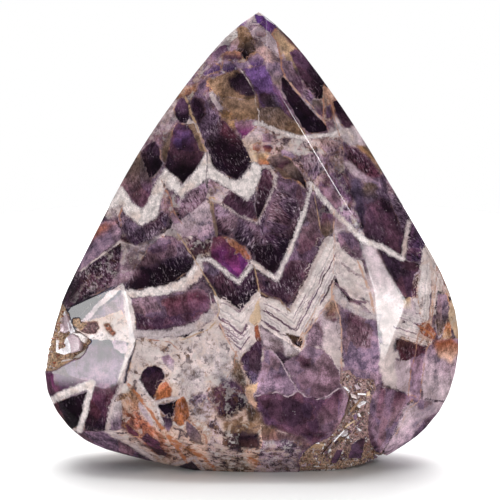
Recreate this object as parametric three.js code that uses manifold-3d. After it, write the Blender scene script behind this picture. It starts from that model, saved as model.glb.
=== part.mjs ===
// A polished, faceted drop of banded amethyst that stands on a small flat base.
// The stone is one solid. Two hollows in its front are lined with small crystals, and each
// lining is a crust of its own. Millimetres, +Z up, the main facet faces -Y.
import * as THREE from "three";
import { mergeVertices } from "three/addons/utils/BufferGeometryUtils.js";
import Module from "manifold-3d";

const wasm = await Module();
wasm.setup();

// Driving dimensions
const BLANK = 320;              // rough block that the facets are ground from
const RIM_Y = -1;               // middle plane of the rim
const RIM_FLATS = 64;           // flats ground round the rim
const EDGE_AT_TOP = 2.2;        // rim's half width in front, near the tip
const EDGE_AT_SIDE = 8.5;       // and at the widest part
const EDGE_AT_FOOT = 11.5;      // and along the foot
const EDGE_FROM_Z = 135;        // height where the rim begins to widen
const EDGE_TO_Z = 50;           // height where it is full
const BACK_EDGE_SHARE = 0.8;    // rim's half width behind, as a share of the front's
const BACK_EDGE_EXTRA = 1;
const FRONT_CHAMFER = 20;       // degrees that the front chamfer leans, at the sides
const FRONT_CHAMFER_FOOT = 40;  // and at the foot
const BACK_CHAMFER = 30;
const BACK_CHAMFER_FOOT = 38;
const GAP = 0.4;                // clear space between a crust and the stone
const CRUST = 1.1;              // thickness of a crust's base layer
const CRUST_INSET = 0.5;        // a crust stays this far under the polished facets

// Ground facets: the way each one faces, turned from the front (-Y) towards +X and tilted up,
// in degrees, and its distance from the origin
const FACETS = [
  { name: "front", turn: 0, tilt: 8, distance: 30.67 },
  { name: "front low left", turn: -11.8, tilt: 1.4, distance: 32.6 },
  { name: "left window", turn: -18.7, tilt: 4.3, distance: 38.1 },
  { name: "low left", turn: -18.8, tilt: 3.2, distance: 37.7 },
  { name: "left flank", turn: -29, tilt: 24.4, distance: 60.8 },
  { name: "left sliver", turn: -18.8, tilt: 18.3, distance: 50.95 },
  { name: "right flank", turn: 33, tilt: 24, distance: 64.65 },
  { name: "right gleam", turn: 6.3, tilt: 9.8, distance: 36.5 },
  { name: "low gleam", turn: 5, tilt: 8.3, distance: 34.25 },
  { name: "right belly", turn: 36.7, tilt: -4.3, distance: 42.85 },
  { name: "low right", turn: 32.8, tilt: -13.6, distance: 35.05 },
  { name: "back", turn: 180, tilt: 7, distance: 27 },
  { name: "back right flank", turn: 157.9, tilt: 20.4, distance: 53 },
  { name: "back left flank", turn: -157.5, tilt: 19.1, distance: 49.9 },
  { name: "back low right", turn: 155.4, tilt: 3.3, distance: 35 },
  { name: "back low left", turn: -156.2, tilt: 3, distance: 34 },
  { name: "base", turn: 0, tilt: -90, distance: 0 },
];

// The drop's outline at the rim, x and z, from the tip down the right side and back up the left
const OUTLINE = [
  [2.8, 146.4], [11.3, 139.4], [27.9, 118.2], [47.2, 87.7], [64.2, 56.4], [67.1, 37.8], [62.2, 20.4],
  [49.5, 7.7], [33, 0.6], [0, -1.9], [-36, 3.8], [-55.8, 11.3], [-65.4, 25.9], [-63.8, 44.4],
  [-48.8, 77.4], [-31.5, 107.9], [-6.6, 139.4], [2.8, 146.4],
];

// Hollows: the lobes that make up each one, as centre x, y, z and radius
const VUG_LOBES = [
  [-52.6, -19.2, 42.6, 3.2],
  [-56, -18.3, 42.4, 4.4],
  [-60.2, -16.6, 41.2, 4.8],
  [-62.6, -14.6, 37.6, 3.2],
  [-63.2, -10.8, 45.4, 3.2],
];
const SEAM_LOBES = [
  [32.4, -26.6, 32.6, 2.7],
  [35.6, -26.9, 30.3, 3],
  [33.4, -27.1, 27.2, 3.5],
  [33.6, -27.2, 22.8, 3.5],
  [33.6, -26.4, 18.2, 3.5],
  [31.6, -26.6, 14.4, 3.3],
  [28, -26.4, 11.2, 3.4],
  [24.2, -24.4, 8.8, 3.5],
  [20.6, -22, 7.2, 3.1],
  [27.8, -21.4, 6.8, 3.1],
  [31.6, -19.6, 5.6, 3],
  [35.8, -19.6, 6.4, 2.9],
];
const PITS = [
  [-55.2, -17.8, 47.9, 1.7],
  [-52.3, -18.8, 48, 1.9],
  [-49.8, -19.6, 48.2, 1.6],
  [-44.9, -21.3, 48.5, 1.3],
  [-43.6, -21.8, 47.4, 1],
  [-61.6, -10.4, 50.4, 1.8],
  [-5.4, -1, 139.9, 1.5],
  [-7.6, -1, 137.6, 1.3],
];
const VUG_CRYSTALS = { perLobe: 8, radius: [0.8, 1.5], length: [1.2, 2.6] };
const SEAM_CRYSTALS = { perLobe: 6, radius: [0.5, 1], length: [0.9, 2.1] };
const LOBE_DETAIL = 1;
const LOBE_LUMPS = 0.14;        // share of the radius

const degrees = THREE.MathUtils.degToRad;

// Seeded random numbers from 0 to 1
function random(seed) {
  let state = seed;
  return () => {
    state = (state * 1664525 + 1013904223) % 4294967296;
    return state / 4294967296;
  };
}

// Turn a closed three.js geometry into a solid
function solidOf(geometry) {
  const bare = geometry.clone();
  bare.deleteAttribute("normal");
  bare.deleteAttribute("uv");
  const merged = mergeVertices(bare, 1e-4);
  return new wasm.Manifold(new wasm.Mesh({
    numProp: 3,
    vertProperties: Float32Array.from(merged.attributes.position.array),
    triVerts: Uint32Array.from(merged.index.array),
  }));
}

function geometryOf(solid) {
  const mesh = solid.getMesh();
  const geometry = new THREE.BufferGeometry();
  geometry.setAttribute("position", new THREE.BufferAttribute(mesh.vertProperties, 3));
  geometry.setIndex(new THREE.BufferAttribute(mesh.triVerts, 1));
  geometry.computeVertexNormals();
  return geometry;
}

// Cut away all that lies beyond a plane
function grind(solid, normal, distance) {
  return solid.trimByPlane([-normal.x, -normal.y, -normal.z], -distance);
}

function facing(turn, tilt) {
  const level = Math.cos(degrees(tilt));
  return new THREE.Vector3(Math.sin(degrees(turn)) * level, -Math.cos(degrees(turn)) * level, Math.sin(degrees(tilt)));
}

// The rim's half width in front: narrow at the tip, wide at the foot
function frontEdge(z, down) {
  const side = THREE.MathUtils.lerp(EDGE_AT_SIDE, EDGE_AT_TOP, THREE.MathUtils.smoothstep(z, EDGE_TO_Z, EDGE_FROM_Z));
  return THREE.MathUtils.lerp(side, EDGE_AT_FOOT, down * down);
}

// Grind the rim's flats, each with a chamfer in front and behind
function grindRim(solid, inset) {
  const points = OUTLINE.map(([x, z]) => new THREE.Vector3(x, RIM_Y, z));
  const rim = new THREE.CatmullRomCurve3(points, false, "centripetal").getSpacedPoints(RIM_FLATS);
  for (let k = 0; k < RIM_FLATS; k += 1) {
    const along = rim[k + 1].clone().sub(rim[k]).normalize();
    const out = new THREE.Vector3(-along.z, 0, along.x);
    const middle = rim[k].clone().add(rim[k + 1]).multiplyScalar(0.5);
    const down = Math.max(0, -out.z);
    const front = frontEdge(middle.z, down);
    const back = front * BACK_EDGE_SHARE + BACK_EDGE_EXTRA;
    const leanFront = degrees(THREE.MathUtils.lerp(FRONT_CHAMFER, FRONT_CHAMFER_FOOT, down));
    const leanBack = degrees(THREE.MathUtils.lerp(BACK_CHAMFER, BACK_CHAMFER_FOOT, down));
    const frontWay = out.clone().multiplyScalar(Math.cos(leanFront)).setY(-Math.sin(leanFront));
    const backWay = out.clone().multiplyScalar(Math.cos(leanBack)).setY(Math.sin(leanBack));
    const frontPoint = middle.clone().setY(RIM_Y - front);
    const backPoint = middle.clone().setY(RIM_Y + back);
    solid = grind(solid, out, out.dot(middle) - inset);
    solid = grind(solid, frontWay, frontWay.dot(frontPoint) - inset);
    solid = grind(solid, backWay, backWay.dot(backPoint) - inset);
  }
  return solid;
}

// The drop with no hollows; an inset makes it smaller all round
function drop(inset) {
  let solid = solidOf(new THREE.BoxGeometry(BLANK, BLANK, BLANK));
  for (const facet of FACETS) {
    solid = grind(solid, facing(facet.turn, facet.tilt), facet.distance - inset);
  }
  return grindRim(solid, inset);
}

// A lumpy ball, smaller all round by the given amount
function lobe([x, y, z, radius], index, less) {
  const ball = new THREE.IcosahedronGeometry(1, LOBE_DETAIL);
  const position = ball.attributes.position;
  const way = new THREE.Vector3();
  for (let i = 0; i < position.count; i += 1) {
    way.fromBufferAttribute(position, i).normalize();
    const lumps = Math.sin(5 * way.x + 3 * index) * Math.cos(4 * way.y - index) + 0.6 * Math.sin(9 * way.z + 2 * index);
    way.multiplyScalar(radius * (1 + LOBE_LUMPS * lumps) - less);
    position.setXYZ(i, way.x + x, way.y + y, way.z + z);
  }
  return solidOf(ball);
}

function hollow(lobes, less) {
  return lobes.map((each, index) => lobe(each, index, less)).reduce((all, next) => all.add(next));
}

// A six-sided crystal with a pointed tip, its foot at the origin and its tip along +Y
function crystal(radius, length) {
  const tip = radius * 1.3;
  const profile = [[0, 0], [radius, 0], [radius * 0.92, length], [0, length + tip]];
  return new THREE.LatheGeometry(profile.map(([r, h]) => new THREE.Vector2(r, h)), 6);
}

// The lining of a hollow: a lumpy layer with crystals that stand on it
function crust(lobes, crystals, seed) {
  const draw = random(seed);
  const between = ([low, high]) => low + (high - low) * draw();
  const inner = GAP + CRUST;
  let solid = hollow(lobes, GAP).subtract(hollow(lobes, inner));
  for (const [x, y, z, radius] of lobes) {
    const centre = new THREE.Vector3(x, y, z);
    for (let k = 0; k < crystals.perLobe; k += 1) {
      const out = new THREE.Vector3(2 * draw() - 1, 0.2 + draw(), 2 * draw() - 1).normalize();
      const size = [between(crystals.radius), between(crystals.length)];
      const lean = new THREE.Vector3(draw() - 0.5, draw() - 0.5, draw() - 0.5).multiplyScalar(0.7);
      const foot = centre.clone().addScaledVector(out, radius - GAP - CRUST * 0.6);
      const covered = lobes.some(([a, b, c, r]) => foot.distanceTo(new THREE.Vector3(a, b, c)) < r - inner);
      if (covered) continue;
      const turn = new THREE.Quaternion();
      turn.setFromUnitVectors(new THREE.Vector3(0, 1, 0), lean.sub(out).normalize());
      const place = new THREE.Matrix4().compose(foot, turn, new THREE.Vector3(1, 1, 1));
      solid = solid.add(solidOf(crystal(...size).applyMatrix4(place)));
    }
  }
  const clipped = solid.intersect(hollow(lobes, GAP)).intersect(drop(CRUST_INSET));
  const pieces = clipped.decompose();
  return pieces.reduce((largest, next) => (next.volume() > largest.volume() ? next : largest));
}

function amethystMaterial() {
  return new THREE.MeshStandardMaterial({ color: 0x5b4468, roughness: 0.12, metalness: 0 });
}

function crustMaterial() {
  return new THREE.MeshStandardMaterial({ color: 0xb39a88, roughness: 0.35, metalness: 0 });
}

function piece(name, solid, material) {
  const mesh = new THREE.Mesh(geometryOf(solid), material);
  mesh.name = name;
  return mesh;
}

const stone = drop(0).subtract(hollow(VUG_LOBES, 0)).subtract(hollow(SEAM_LOBES, 0)).subtract(hollow(PITS, 0));

const amethyst = new THREE.Group();
amethyst.add(piece("stone", stone, amethystMaterial()));
amethyst.add(piece("vug_crust", crust(VUG_LOBES, VUG_CRYSTALS, 7), crustMaterial()));
amethyst.add(piece("seam_crust", crust(SEAM_LOBES, SEAM_CRYSTALS, 21), crustMaterial()));

// Stand it with the middle of its box over the origin
const box = new THREE.Box3().setFromObject(amethyst);
const middle = box.getCenter(new THREE.Vector3());
amethyst.position.set(-middle.x, -middle.y, -box.min.z);

export default amethyst;
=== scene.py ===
"""A polished, faceted drop of banded amethyst that stands on a pale floor."""
import math

import bmesh
import bpy
import numpy as np
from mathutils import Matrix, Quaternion, Vector
from mathutils.geometry import delaunay_2d_cdt
from mathutils.kdtree import KDTree


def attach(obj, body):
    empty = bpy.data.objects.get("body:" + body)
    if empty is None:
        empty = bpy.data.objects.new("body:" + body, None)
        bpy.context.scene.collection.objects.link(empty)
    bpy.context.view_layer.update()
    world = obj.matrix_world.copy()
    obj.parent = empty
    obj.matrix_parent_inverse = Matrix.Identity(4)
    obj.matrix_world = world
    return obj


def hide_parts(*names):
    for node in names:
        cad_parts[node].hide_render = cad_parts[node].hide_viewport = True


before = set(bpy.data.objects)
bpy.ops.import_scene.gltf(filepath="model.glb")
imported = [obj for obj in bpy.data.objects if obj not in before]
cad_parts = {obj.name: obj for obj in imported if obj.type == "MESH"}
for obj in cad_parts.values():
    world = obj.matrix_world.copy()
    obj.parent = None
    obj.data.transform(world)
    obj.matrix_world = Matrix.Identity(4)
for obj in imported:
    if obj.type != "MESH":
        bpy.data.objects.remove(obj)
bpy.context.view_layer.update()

MM = 0.001

# Camera: the photograph's frame is 500 by 500 pixels, y down; a pixel is about 0.31 mm on the stone
FRAME = 500
CAMERA_TARGET = (-0.55, -10.1, 71.55)       # mm
CAMERA_DISTANCE = 620                       # mm
CAMERA_ELEVATION = 8                        # degrees
FRAME_WIDTH = 156                           # mm that the frame spans at the stone's front
FRONT_DISTANCE = 610                        # mm from the camera to there
SENSOR = 36

# Fineness of the stone's mesh, mm
STEP_FRONT = 0.62
STEP_BACK = 1.25
STEP_HOLLOW = 0.34
EDGE_ROUND = 0.3                            # half the width of the polished edge between two facets
SHORTEST_EDGE = 0.65                        # shorter edges of the ground form are closed up first
NAMED_FACET_AREA = 250                      # mm2; smaller faces belong to the rounded rim
RIM_SOFTENING = 14                          # smoothing passes
CRISP = 1.6                                 # pixels; a marking with a softer edge than this is a cloud
EDGE_REACH = 4.4                            # pixels to each side of a sharp edge where its colours are kept
FAR = 9.0                                   # pixels; longer distances to an edge or a band are cut off here

# The hollows
WALL = 0.6                                  # width of a hollow's wall, in its depths
UNEVEN = 0.28                               # share by which its floor rises and falls
FRONT_ONLY = (7, 1)                         # mm from the middle plane, y, between which hollows begin
SILHOUETTE = (44, 60)                       # columns of the frame where the left hollow runs out
FOOT = (468, 450)                           # rows of the frame where the seam does so
ORANGE_FOOT = (445, 462)                    # rows between which the seam's ground turns orange
SEAM_WAY = (0.72, 0.1, 0.68)                # the way most blades in the seam point
LEAST_COVER = 0.05                          # mm from a crystal to the polished surface

# Linear colours of the finer markings that the material adds
GREY_FILM, RUSTY_FILM = (0.34, 0.26, 0.3, 1), (0.4, 0.2, 0.1, 1)
BLUER, WARMER = (0.92, 0.97, 1.12, 1), (1.08, 1.01, 0.93, 1)
PLUM_GRAIN, BROWN_GRAIN = (0.045, 0.026, 0.042, 1), (0.13, 0.062, 0.032, 1)
GREY_GRAIN, CREAM_GRAIN = (0.62, 0.57, 0.55, 1), (0.66, 0.5, 0.42, 1)
DARK_FIBRE, PALE_FIBRE = (0.011, 0.005, 0.01, 1), (0.44, 0.34, 0.4, 1)
CRACK_FILM = (0.26, 0.13, 0.07, 1)
SPECK = (0.45, 0.38, 0.42, 1)
BAND_GREY, BAND_RUST = (0.3, 0.27, 0.27, 1), (0.5, 0.32, 0.24, 1)
BAND_LINE, BAND_EDGE = (0.14, 0.1, 0.13, 1), (0.32, 0.25, 0.29, 1)
HOLLOW_SPECK, HOLLOW_WALL = (0.66, 0.58, 0.52, 1), (0.17, 0.08, 0.055, 1)
QUARTZ_IOR = 1.55

# Softboxes: name; turn and tilt of the way to it; width and height as seen from the stone; radiance;
# distance in metres; roll. All the angles are in degrees
SOFTBOXES = [
    ("left_softbox", -43, 0.4, 14, 15.2, 7.5, 0.45, 0),
    ("right_softbox", 17, 7, 12, 5.8, 9, 1.0, 0),
    ("right_upper_softbox", 17, 13.5, 12, 7.2, 2.6, 1.0, 0),
    ("edge_softbox", 33, 26.5, 32, 5, 13, 1.0, 17),
    ("top_softbox", 0, 60, 44, 32, 2.0, 1.0, 0),
    ("back_softbox", 180, 40, 60, 40, 4, 1.0, 0),
]
LIT_POINT = (0, 0, 0.06)                    # metres; the softboxes face it
WORLD_LIGHT = (0.05, 0.05, 0.05, 1)         # what lights the stone from all around; the camera sees white
FLOOR_COLOUR = (0.9, 0.9, 0.9, 1)
FLOOR_RADII = (0.3, 0.5)                    # metres, along x and y
FLOOR_SHIFT = 0.25                          # metres that the floor's middle lies behind the stone
FLOOR_SIDES = 96

# Colours, sRGB
PALETTE = {
    "black": (21, 8, 19), "ink": (34, 18, 33), "dusk": (58, 38, 52), "plum": (88, 58, 76),
    "wine": (84, 46, 60),
    "umber": (68, 44, 42), "violet": (82, 58, 96), "vivid": (98, 62, 126), "mauve": (120, 92, 108),
    "haze": (134, 108, 122), "lilac": (150, 122, 142), "pale": (188, 166, 174), "milk": (226, 214, 212),
    "bone": (204, 186, 184), "cloud": (182, 168, 170), "ash": (142, 128, 132), "slate": (78, 64, 80),
    "smoke": (108, 88, 80), "olive": (96, 74, 58), "honey": (134, 102, 76), "sand": (176, 144, 116),
    "cream": (214, 184, 156), "rust": (150, 88, 66), "orange": (176, 108, 72), "peach": (198, 158, 140),
    "tan": (142, 112, 92), "glass": (46, 42, 54), "rose": (164, 132, 130), "royal": (104, 46, 96),
    "grape": (98, 68, 108), "chalk": (224, 208, 206), "clay": (166, 118, 98),
    "liver": (124, 90, 94), "white": (246, 242, 246),
}

# Crystals and clouds, painted one over the other: name, colour at the root and at the tip, lean of their
# growth in degrees from straight down towards the right, softness of the edge in pixels, strength of the
# streaks, outline in pixels of the photograph's frame
PATCHES = [
    # Apex
    ("upper body", "haze", "mauve", 10, 3, 0.3, "258,0 360,130 335,140 258,125 240,140 170,90 220,30"),
    ("apex tip", "bone", "pale", 0, 1.5, 0.2, "236,24 259,4 272,16 264,24 250,27 240,30"),
    ("apex violet", "vivid", "vivid", 0, 1.5, 0.4, "257,16 268,16 282,26 276,32 270,35 263,28 257,23"),
    ("apex pit", "ash", "cloud", 0, 1, 0.3, "240,27 234,33 229,39 224,42 222,39 228,32 236,25"),
    ("apex dark violet", "lilac", "violet", 0, 0.8, 0.2, "238,24 250,19 249,26 241,28"),
    ("right edge", "plum", "umber", 35, 1, 0.2, "277,22 284,25 308,50 298,54 286,38 278,29"),
    ("beige shoulder", "sand", "smoke", 0, 2, 0.3, "276,28 286,37 299,53 303,70 301,80 292,70 285,58 "
     "279,46 271,35"),
    ("left shoulder", "milk", "haze", 0, 2, 0.3, "208,54 238,26 243,30 239,42 236,50 224,54 212,66"),
    ("dark shoulder", "plum", "mauve", 0, 1.5, 0.2, "211,52 224,42 230,45 228,52 221,53 210,62"),
    ("pink shoulder", "rose", "lilac", 0, 1.5, 0.2, "229,42 238,37 240,42 236,50 229,52"),
    ("smoky patch", "tan", "black", 0, 0.9, 0.4, "238,27 247,26 252,31 254,38 256,46 257,51 250,55 248,61 "
     "243,59 241,53 236,51 239,44 238,36"),
    ("pink swath", "pale", "pale", 30, 1.5, 0.5, "253,28 262,26 270,33 277,44 282,58 277,57 268,46 260,41 "
     "254,38 251,33"),
    ("pebble", "pale", "haze", 0, 1, 0.2, "255,31 264,29 267,34 262,38 256,36"),
    ("beige cloud", "rose", "rose", 0, 1.5, 0.4, "256,42 262,42 268,47 277,58 282,66 272,67 262,62 257,52"),
    ("brown shoulder", "clay", "plum", 0, 1, 0.2, "222,54 228,51 236,50 242,54 243,60 232,61 223,60"),
    ("grey violet", "haze", "violet", 0, 1, 0.4, "248,57 258,53 265,60 262,67 253,68 249,63"),
    ("left fragments", "lilac", "lilac", 0, 2, 0.3, "186,84 206,60 222,60 238,60 249,62 251,68 242,70 "
     "236,72 222,75 206,81 196,90"),
    ("fragment one", "lilac", "violet", 20, 0.9, 0.4, "222,62 230,60 237,66 235,70 228,74 222,71"),
    ("fragment two", "mauve", "violet", 30, 1, 0.3, "202,74 214,62 220,65 221,71 214,74 206,77"),
    ("fragment three", "lilac", "lilac", 0, 1, 0.4, "236,62 248,61 250,67 243,70 238,68"),
    ("fragment four", "mauve", "mauve", -40, 1, 0.4, "203,80 210,74 219,73 216,77 208,80"),
    ("lilac rest", "mauve", "mauve", 0, 1, 0.2, "190,86 205,80 214,84 214,90 208,94 196,94"),
    ("lilac eye", "mauve", "plum", 0, 1, 0.2, "207,86 212,84 214,89 210,93 207,91"),
    ("citrine", "tan", "honey", 10, 1, 0.3, "207,82 222,75 238,70 246,78 256,92 259,104 259,122 240,121 "
     "225,107 214,93"),
    ("citrine smoke", "ink", "dusk", 0, 3, 0.3, "228,80 238,72 243,70 250,80 257,95 246,96 236,92 229,86"),
    ("citrine foot", "tan", "honey", 0, 1, 0.3, "219,97 240,99 258,99 259,122 238,120 226,108"),
    ("citrine left", "honey", "honey", 30, 1, 0.4, "212,96 220,101 226,108 236,120 235,132 226,130 "
     "221,115 216,104"),
    ("white streak", "bone", "pale", 30, 0.8, 0.3, "209,94 213,94 219,102 223,110 218,110 212,102"),
    ("blue violet", "grape", "plum", 25, 1.5, 0.4, "242,69 252,67 266,65 272,78 280,92 290,110 301,124 "
     "297,126 286,114 279,108 261,108 259,98 255,88 249,78"),
    ("blue violet core", "dusk", "slate", 25, 3, 0.4, "259,94 272,92 280,102 279,108 262,107"),
    ("grey flecks", "haze", "smoke", 0, 2, 0.4, "266,62 281,62 283,76 281,90 274,82 268,70"),
    ("olive foot", "smoke", "tan", 20, 1.5, 0.6, "259,107 278,107 290,117 300,126 307,134 298,137 282,132 "
     "262,126 258,120"),
    ("black crystal", "ink", "black", 35, 0.8, 0.3, "283,76 290,84 300,97 310,108 320,118 326,126 327,131 "
     "318,133 309,133 303,127 295,114 287,101 281,90 281,80"),
    ("pink brown", "haze", "plum", 30, 1.5, 0.6, "283,60 291,62 301,78 304,90 300,95 291,84 284,76"),
    ("dark right", "plum", "black", 35, 1.5, 0.4, "290,52 299,50 316,62 332,84 325,99 317,100 309,92 "
     "302,80 296,66"),
    ("striped lilac", "haze", "grape", 60, 0.9, 1.0, "303,88 310,90 314,99 311,105 305,99"),
    ("grey lilac", "smoke", "plum", 20, 1, 0.3, "312,99 323,100 324,119 317,113 311,105"),
    ("rust zone", "peach", "rust", 0, 1.5, 0.6, "323,83 338,90 346,106 335,104 334,114 331,122 324,121 "
     "323,100"),
    ("lilac in rust", "mauve", "plum", 0, 1.5, 0.3, "325,105 331,104 332,118 326,119"),
    ("dark strip", "ink", "dusk", 35, 1, 0.3, "334,101 342,98 358,122 352,126 347,131 341,124 336,114"),
    ("plum patch", "mauve", "royal", 0, 0.8, 0.2, "234,122 246,120 257,121 258,125 250,133 243,140 "
     "238,132"),
    # Upper left
    ("left edge lilac", "bone", "mauve", 20, 2, 0.4, "160,90 178,93 180,100 175,112 176,122 172,130 "
     "166,138 160,150 152,150 145,146 130,150"),
    ("small dark crystal", "plum", "black", 10, 0.9, 0.5, "181,98 186,100 189,108 189,118 186,123 180,123 "
     "176,118 175,110 178,104"),
    ("brown nook", "clay", "umber", 20, 2, 0.3, "170,98 186,88 198,84 198,94 196,102 192,106 187,98 "
     "178,100"),
    ("brown margin", "smoke", "olive", 0, 2, 0.2, "166,138 172,128 175,126 172,145 168,158 163,166 "
     "161,155 163,145"),
    ("second black crystal", "plum", "black", 5, 1, 0.4, "177,123 186,124 193,124 197,132 203,148 206,153 "
     "200,163 195,170 188,178 183,184 178,179 170,173 165,166 168,152 171,138 174,128"),
    ("its blue cloud", "grape", "ink", 5, 4, 0.3, "176,130 190,130 195,140 192,150 176,150 173,140"),
    ("its brown flank", "tan", "olive", 15, 1.5, 0.2, "188,124 194,123 199,133 204,146 206,153 201,150 "
     "196,140 191,130"),
    ("third black crystal", "dusk", "black", 0, 1, 0.4, "140,152 147,144 155,142 160,149 161,158 164,164 "
     "160,170 153,177 149,178 146,172 143,162"),
    ("brown crystal", "smoke", "plum", 15, 1.5, 0.5, "120,170 140,150 143,160 146,172 150,180 152,188 "
     "149,198 146,206 142,209 136,204 130,198 125,190 118,184"),
    ("great black crystal", "mauve", "ink", 25, 1, 0.9, "189,104 196,92 205,95 212,108 220,118 232,130 "
     "236,134 244,141 250,152 253,161 248,168 243,175 236,180 228,176 218,170 211,166 210,158 207,150 "
     "203,138 198,126 193,114"),
    ("its upper night", "ink", "ink", 25, 3, 0.3, "189,104 196,96 204,102 206,114 200,124 196,122"),
    ("its wine side", "wine", "black", 30, 3, 0.5, "222,122 236,132 246,144 252,160 240,160 230,145 "
     "221,134"),
    ("its black heart", "black", "black", 30, 5, 0.6, "208,140 222,138 240,148 252,162 236,178 214,166"),
    # Between the upper zigzag and the middle
    ("left tuft", "bone", "plum", 0, 2, 0.9, "90,222 102,208 112,207 123,207 118,218 100,223"),
    ("lilac block", "haze", "haze", 30, 1.5, 0.2, "80,226 99,222 115,221 120,230 121,240 100,254 81,270 "
     "66,266"),
    ("its pink edge", "rust", "mauve", 30, 4, 0.2, "84,238 98,226 116,222 112,230 96,240 86,252"),
    ("dark block under zigzag", "haze", "dusk", 20, 1.2, 0.9, "121,209 130,217 138,225 145,226 155,220 "
     "160,211 166,211 171,216 169,226 160,232 152,240 145,243 135,247 128,240 121,228 117,220"),
    ("dark violet foot", "dusk", "slate", 20, 1.2, 1.0, "144,226 156,220 161,212 168,214 166,226 152,239 "
     "144,243"),
    ("pale wedge", "ash", "haze", 0, 2, 0.2, "122,242 135,247 152,240 165,232 150,246 140,262 127,283 "
     "118,282 120,262"),
    ("dark mottled block", "dusk", "plum", 30, 1.5, 1.0, "121,242 121,255 117,270 111,286 90,292 65,309 "
     "40,312 60,280 80,271 100,256"),
    ("its shadow", "ink", "dusk", 30, 4, 0.5, "60,285 78,276 84,284 74,300 62,308 50,310"),
    ("big dark block", "mauve", "black", 20, 1, 0.8, "127,284 140,262 150,246 160,238 172,232 178,236 "
     "186,246 193,256 195,262 190,270 182,276 174,281 165,286 150,289 142,289 131,292"),
    ("big block's night", "ink", "black", 20, 6, 0.5, "140,268 160,262 178,254 190,262 180,276 150,288 "
     "132,290"),
    ("its pink shoulder", "lilac", "plum", 20, 4, 0.4, "148,248 160,240 170,240 164,250 152,254"),
    ("grey tip", "cloud", "smoke", 10, 1.5, 0.3, "158,238 166,231 174,228 184,238 180,242 172,236 164,236"),
    ("mottled pink", "plum", "umber", 20, 2, 1.0, "182,236 205,240 213,240 212,256 205,258 196,262 "
     "190,252"),
    ("pink lilac zone", "pale", "haze", 25, 1.5, 0.8, "180,220 205,200 210,200 213,215 216,234 205,241 "
     "195,237 182,236 172,227 171,216"),
    ("striated purple", "lilac", "mauve", 20, 1.2, 1.0, "180,200 195,188 205,182 208,195 205,200 195,208 "
     "182,219 179,211 177,204"),
    ("small mauve", "haze", "mauve", 10, 1.5, 0.5, "161,200 164,192 168,188 176,197 180,200 178,212 "
     "175,218 170,213 164,213"),
    ("lilac knot", "lilac", "lilac", 10, 0.8, 0.3, "170,212 175,212 182,222 176,224 171,222"),
    ("lilac ground", "haze", "pale", 20, 1.5, 0.5, "208,178 217,183 229,190 224,201 217,201 209,197"),
    ("brown tongue", "sand", "tan", 10, 1, 0.6, "208,196 214,198 216,206 219,218 219,232 215,230 211,214"),
    # Middle left
    ("mauve block", "haze", "plum", 10, 2, 0.6, "129,300 140,297 150,296 170,293 190,290 204,284 212,292 "
     "216,302 212,312 205,316 192,320 180,326 165,329 150,331 138,330 134,315"),
    ("its dark foot", "ink", "plum", 10, 4, 0.7, "133,312 150,318 170,314 192,306 205,312 192,320 165,328 "
     "138,329"),
    ("its wine core", "wine", "plum", 10, 5, 0.4, "160,300 185,294 204,288 212,300 204,312 186,314 "
     "166,316"),
    ("violet crystal", "wine", "royal", 30, 0.8, 0.2, "213,237 222,235 230,240 240,246 247,250 250,258 "
     "248,264 243,272 238,279 228,271 218,262 211,257 211,248"),
    ("its glow", "wine", "royal", 30, 4, 0.6, "214,240 224,240 228,250 224,258 213,254"),
    ("its rust roof", "clay", "rust", 30, 0.9, 0.6, "222,235 232,238 243,243 250,254 251,261 243,257 "
     "240,252 234,254 236,250 228,242"),
    ("crystal under the V", "plum", "ink", 10, 1.2, 1.0, "197,264 212,262 238,286 252,268 257,280 259,289 "
     "250,300 240,311 230,303 218,295 210,284 202,272"),
    ("its lilac root", "haze", "lilac", 20, 2, 0.8, "200,265 212,263 220,270 214,278 205,272"),
    # Centre
    ("striated block", "mauve", "dusk", 20, 1, 1.0, "212,203 222,203 232,192 248,200 258,187 262,172 "
     "268,168 275,172 290,178 300,185 307,194 303,215 295,235 286,255 278,272 272,277 262,271 252,262 "
     "249,250 235,240 222,236 217,225"),
    ("block under the zigzag", "plum", "plum", -25, 1, 0.8, "221,203 230,190 248,200 256,202 258,222 "
     "250,219 240,215 226,206"),
    ("its right lobe", "plum", "ink", 20, 1, 0.8, "258,186 262,171 268,168 274,173 273,188 266,205 "
     "258,222 255,205"),
    ("fibres left", "lilac", "dusk", -35, 1.5, 1.0, "214,206 226,207 240,217 236,228 228,236 218,232 "
     "216,220"),
    ("fibres middle", "mauve", "ink", -30, 2, 1.0, "240,217 258,224 262,240 252,256 244,245 234,238"),
    ("fibres right", "mauve", "dusk", 60, 2, 1.0, "268,208 276,192 292,190 298,206 290,228 276,234 "
     "266,226"),
    ("fibres low", "plum", "ink", 60, 2, 1.0, "262,236 286,232 290,244 282,262 266,246"),
    ("black foot", "black", "black", 20, 4, 0.5, "255,246 270,242 282,254 276,274 262,268 253,260"),
    ("violet shoulder", "mauve", "dusk", 20, 2, 0.6, "278,180 296,182 306,192 302,206 292,194 280,188"),
    # Marble between the thin band and the middle
    ("marble", "rose", "lilac", 15, 2, 0.8, "243,140 258,126 285,134 310,138 340,132 352,146 352,180 "
     "366,236 355,234 335,212 312,186 306,176 296,166 280,158 262,165 255,160"),
    ("white under plum", "pale", "cream", 0, 1, 0.2, "243,140 258,125 265,130 262,138 257,146 257,162 "
     "252,160 247,148"),
    ("spot one", "rose", "rust", 0, 0.9, 0.2, "253,145 258,142 262,148 258,152 253,150"),
    ("spot two", "wine", "rust", 0, 1, 0.2, "263,146 270,144 273,148 270,153 264,152"),
    ("orange cloud", "sand", "orange", 0, 2.5, 0.3, "256,153 266,152 272,156 270,163 262,166 257,160"),
    ("lilac flake", "haze", "mauve", 0, 1.2, 0.4, "262,133 273,135 271,142 262,142"),
    ("lilac flake two", "lilac", "lilac", 0, 1.2, 0.5, "280,149 292,150 297,158 290,160 282,156"),
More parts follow.
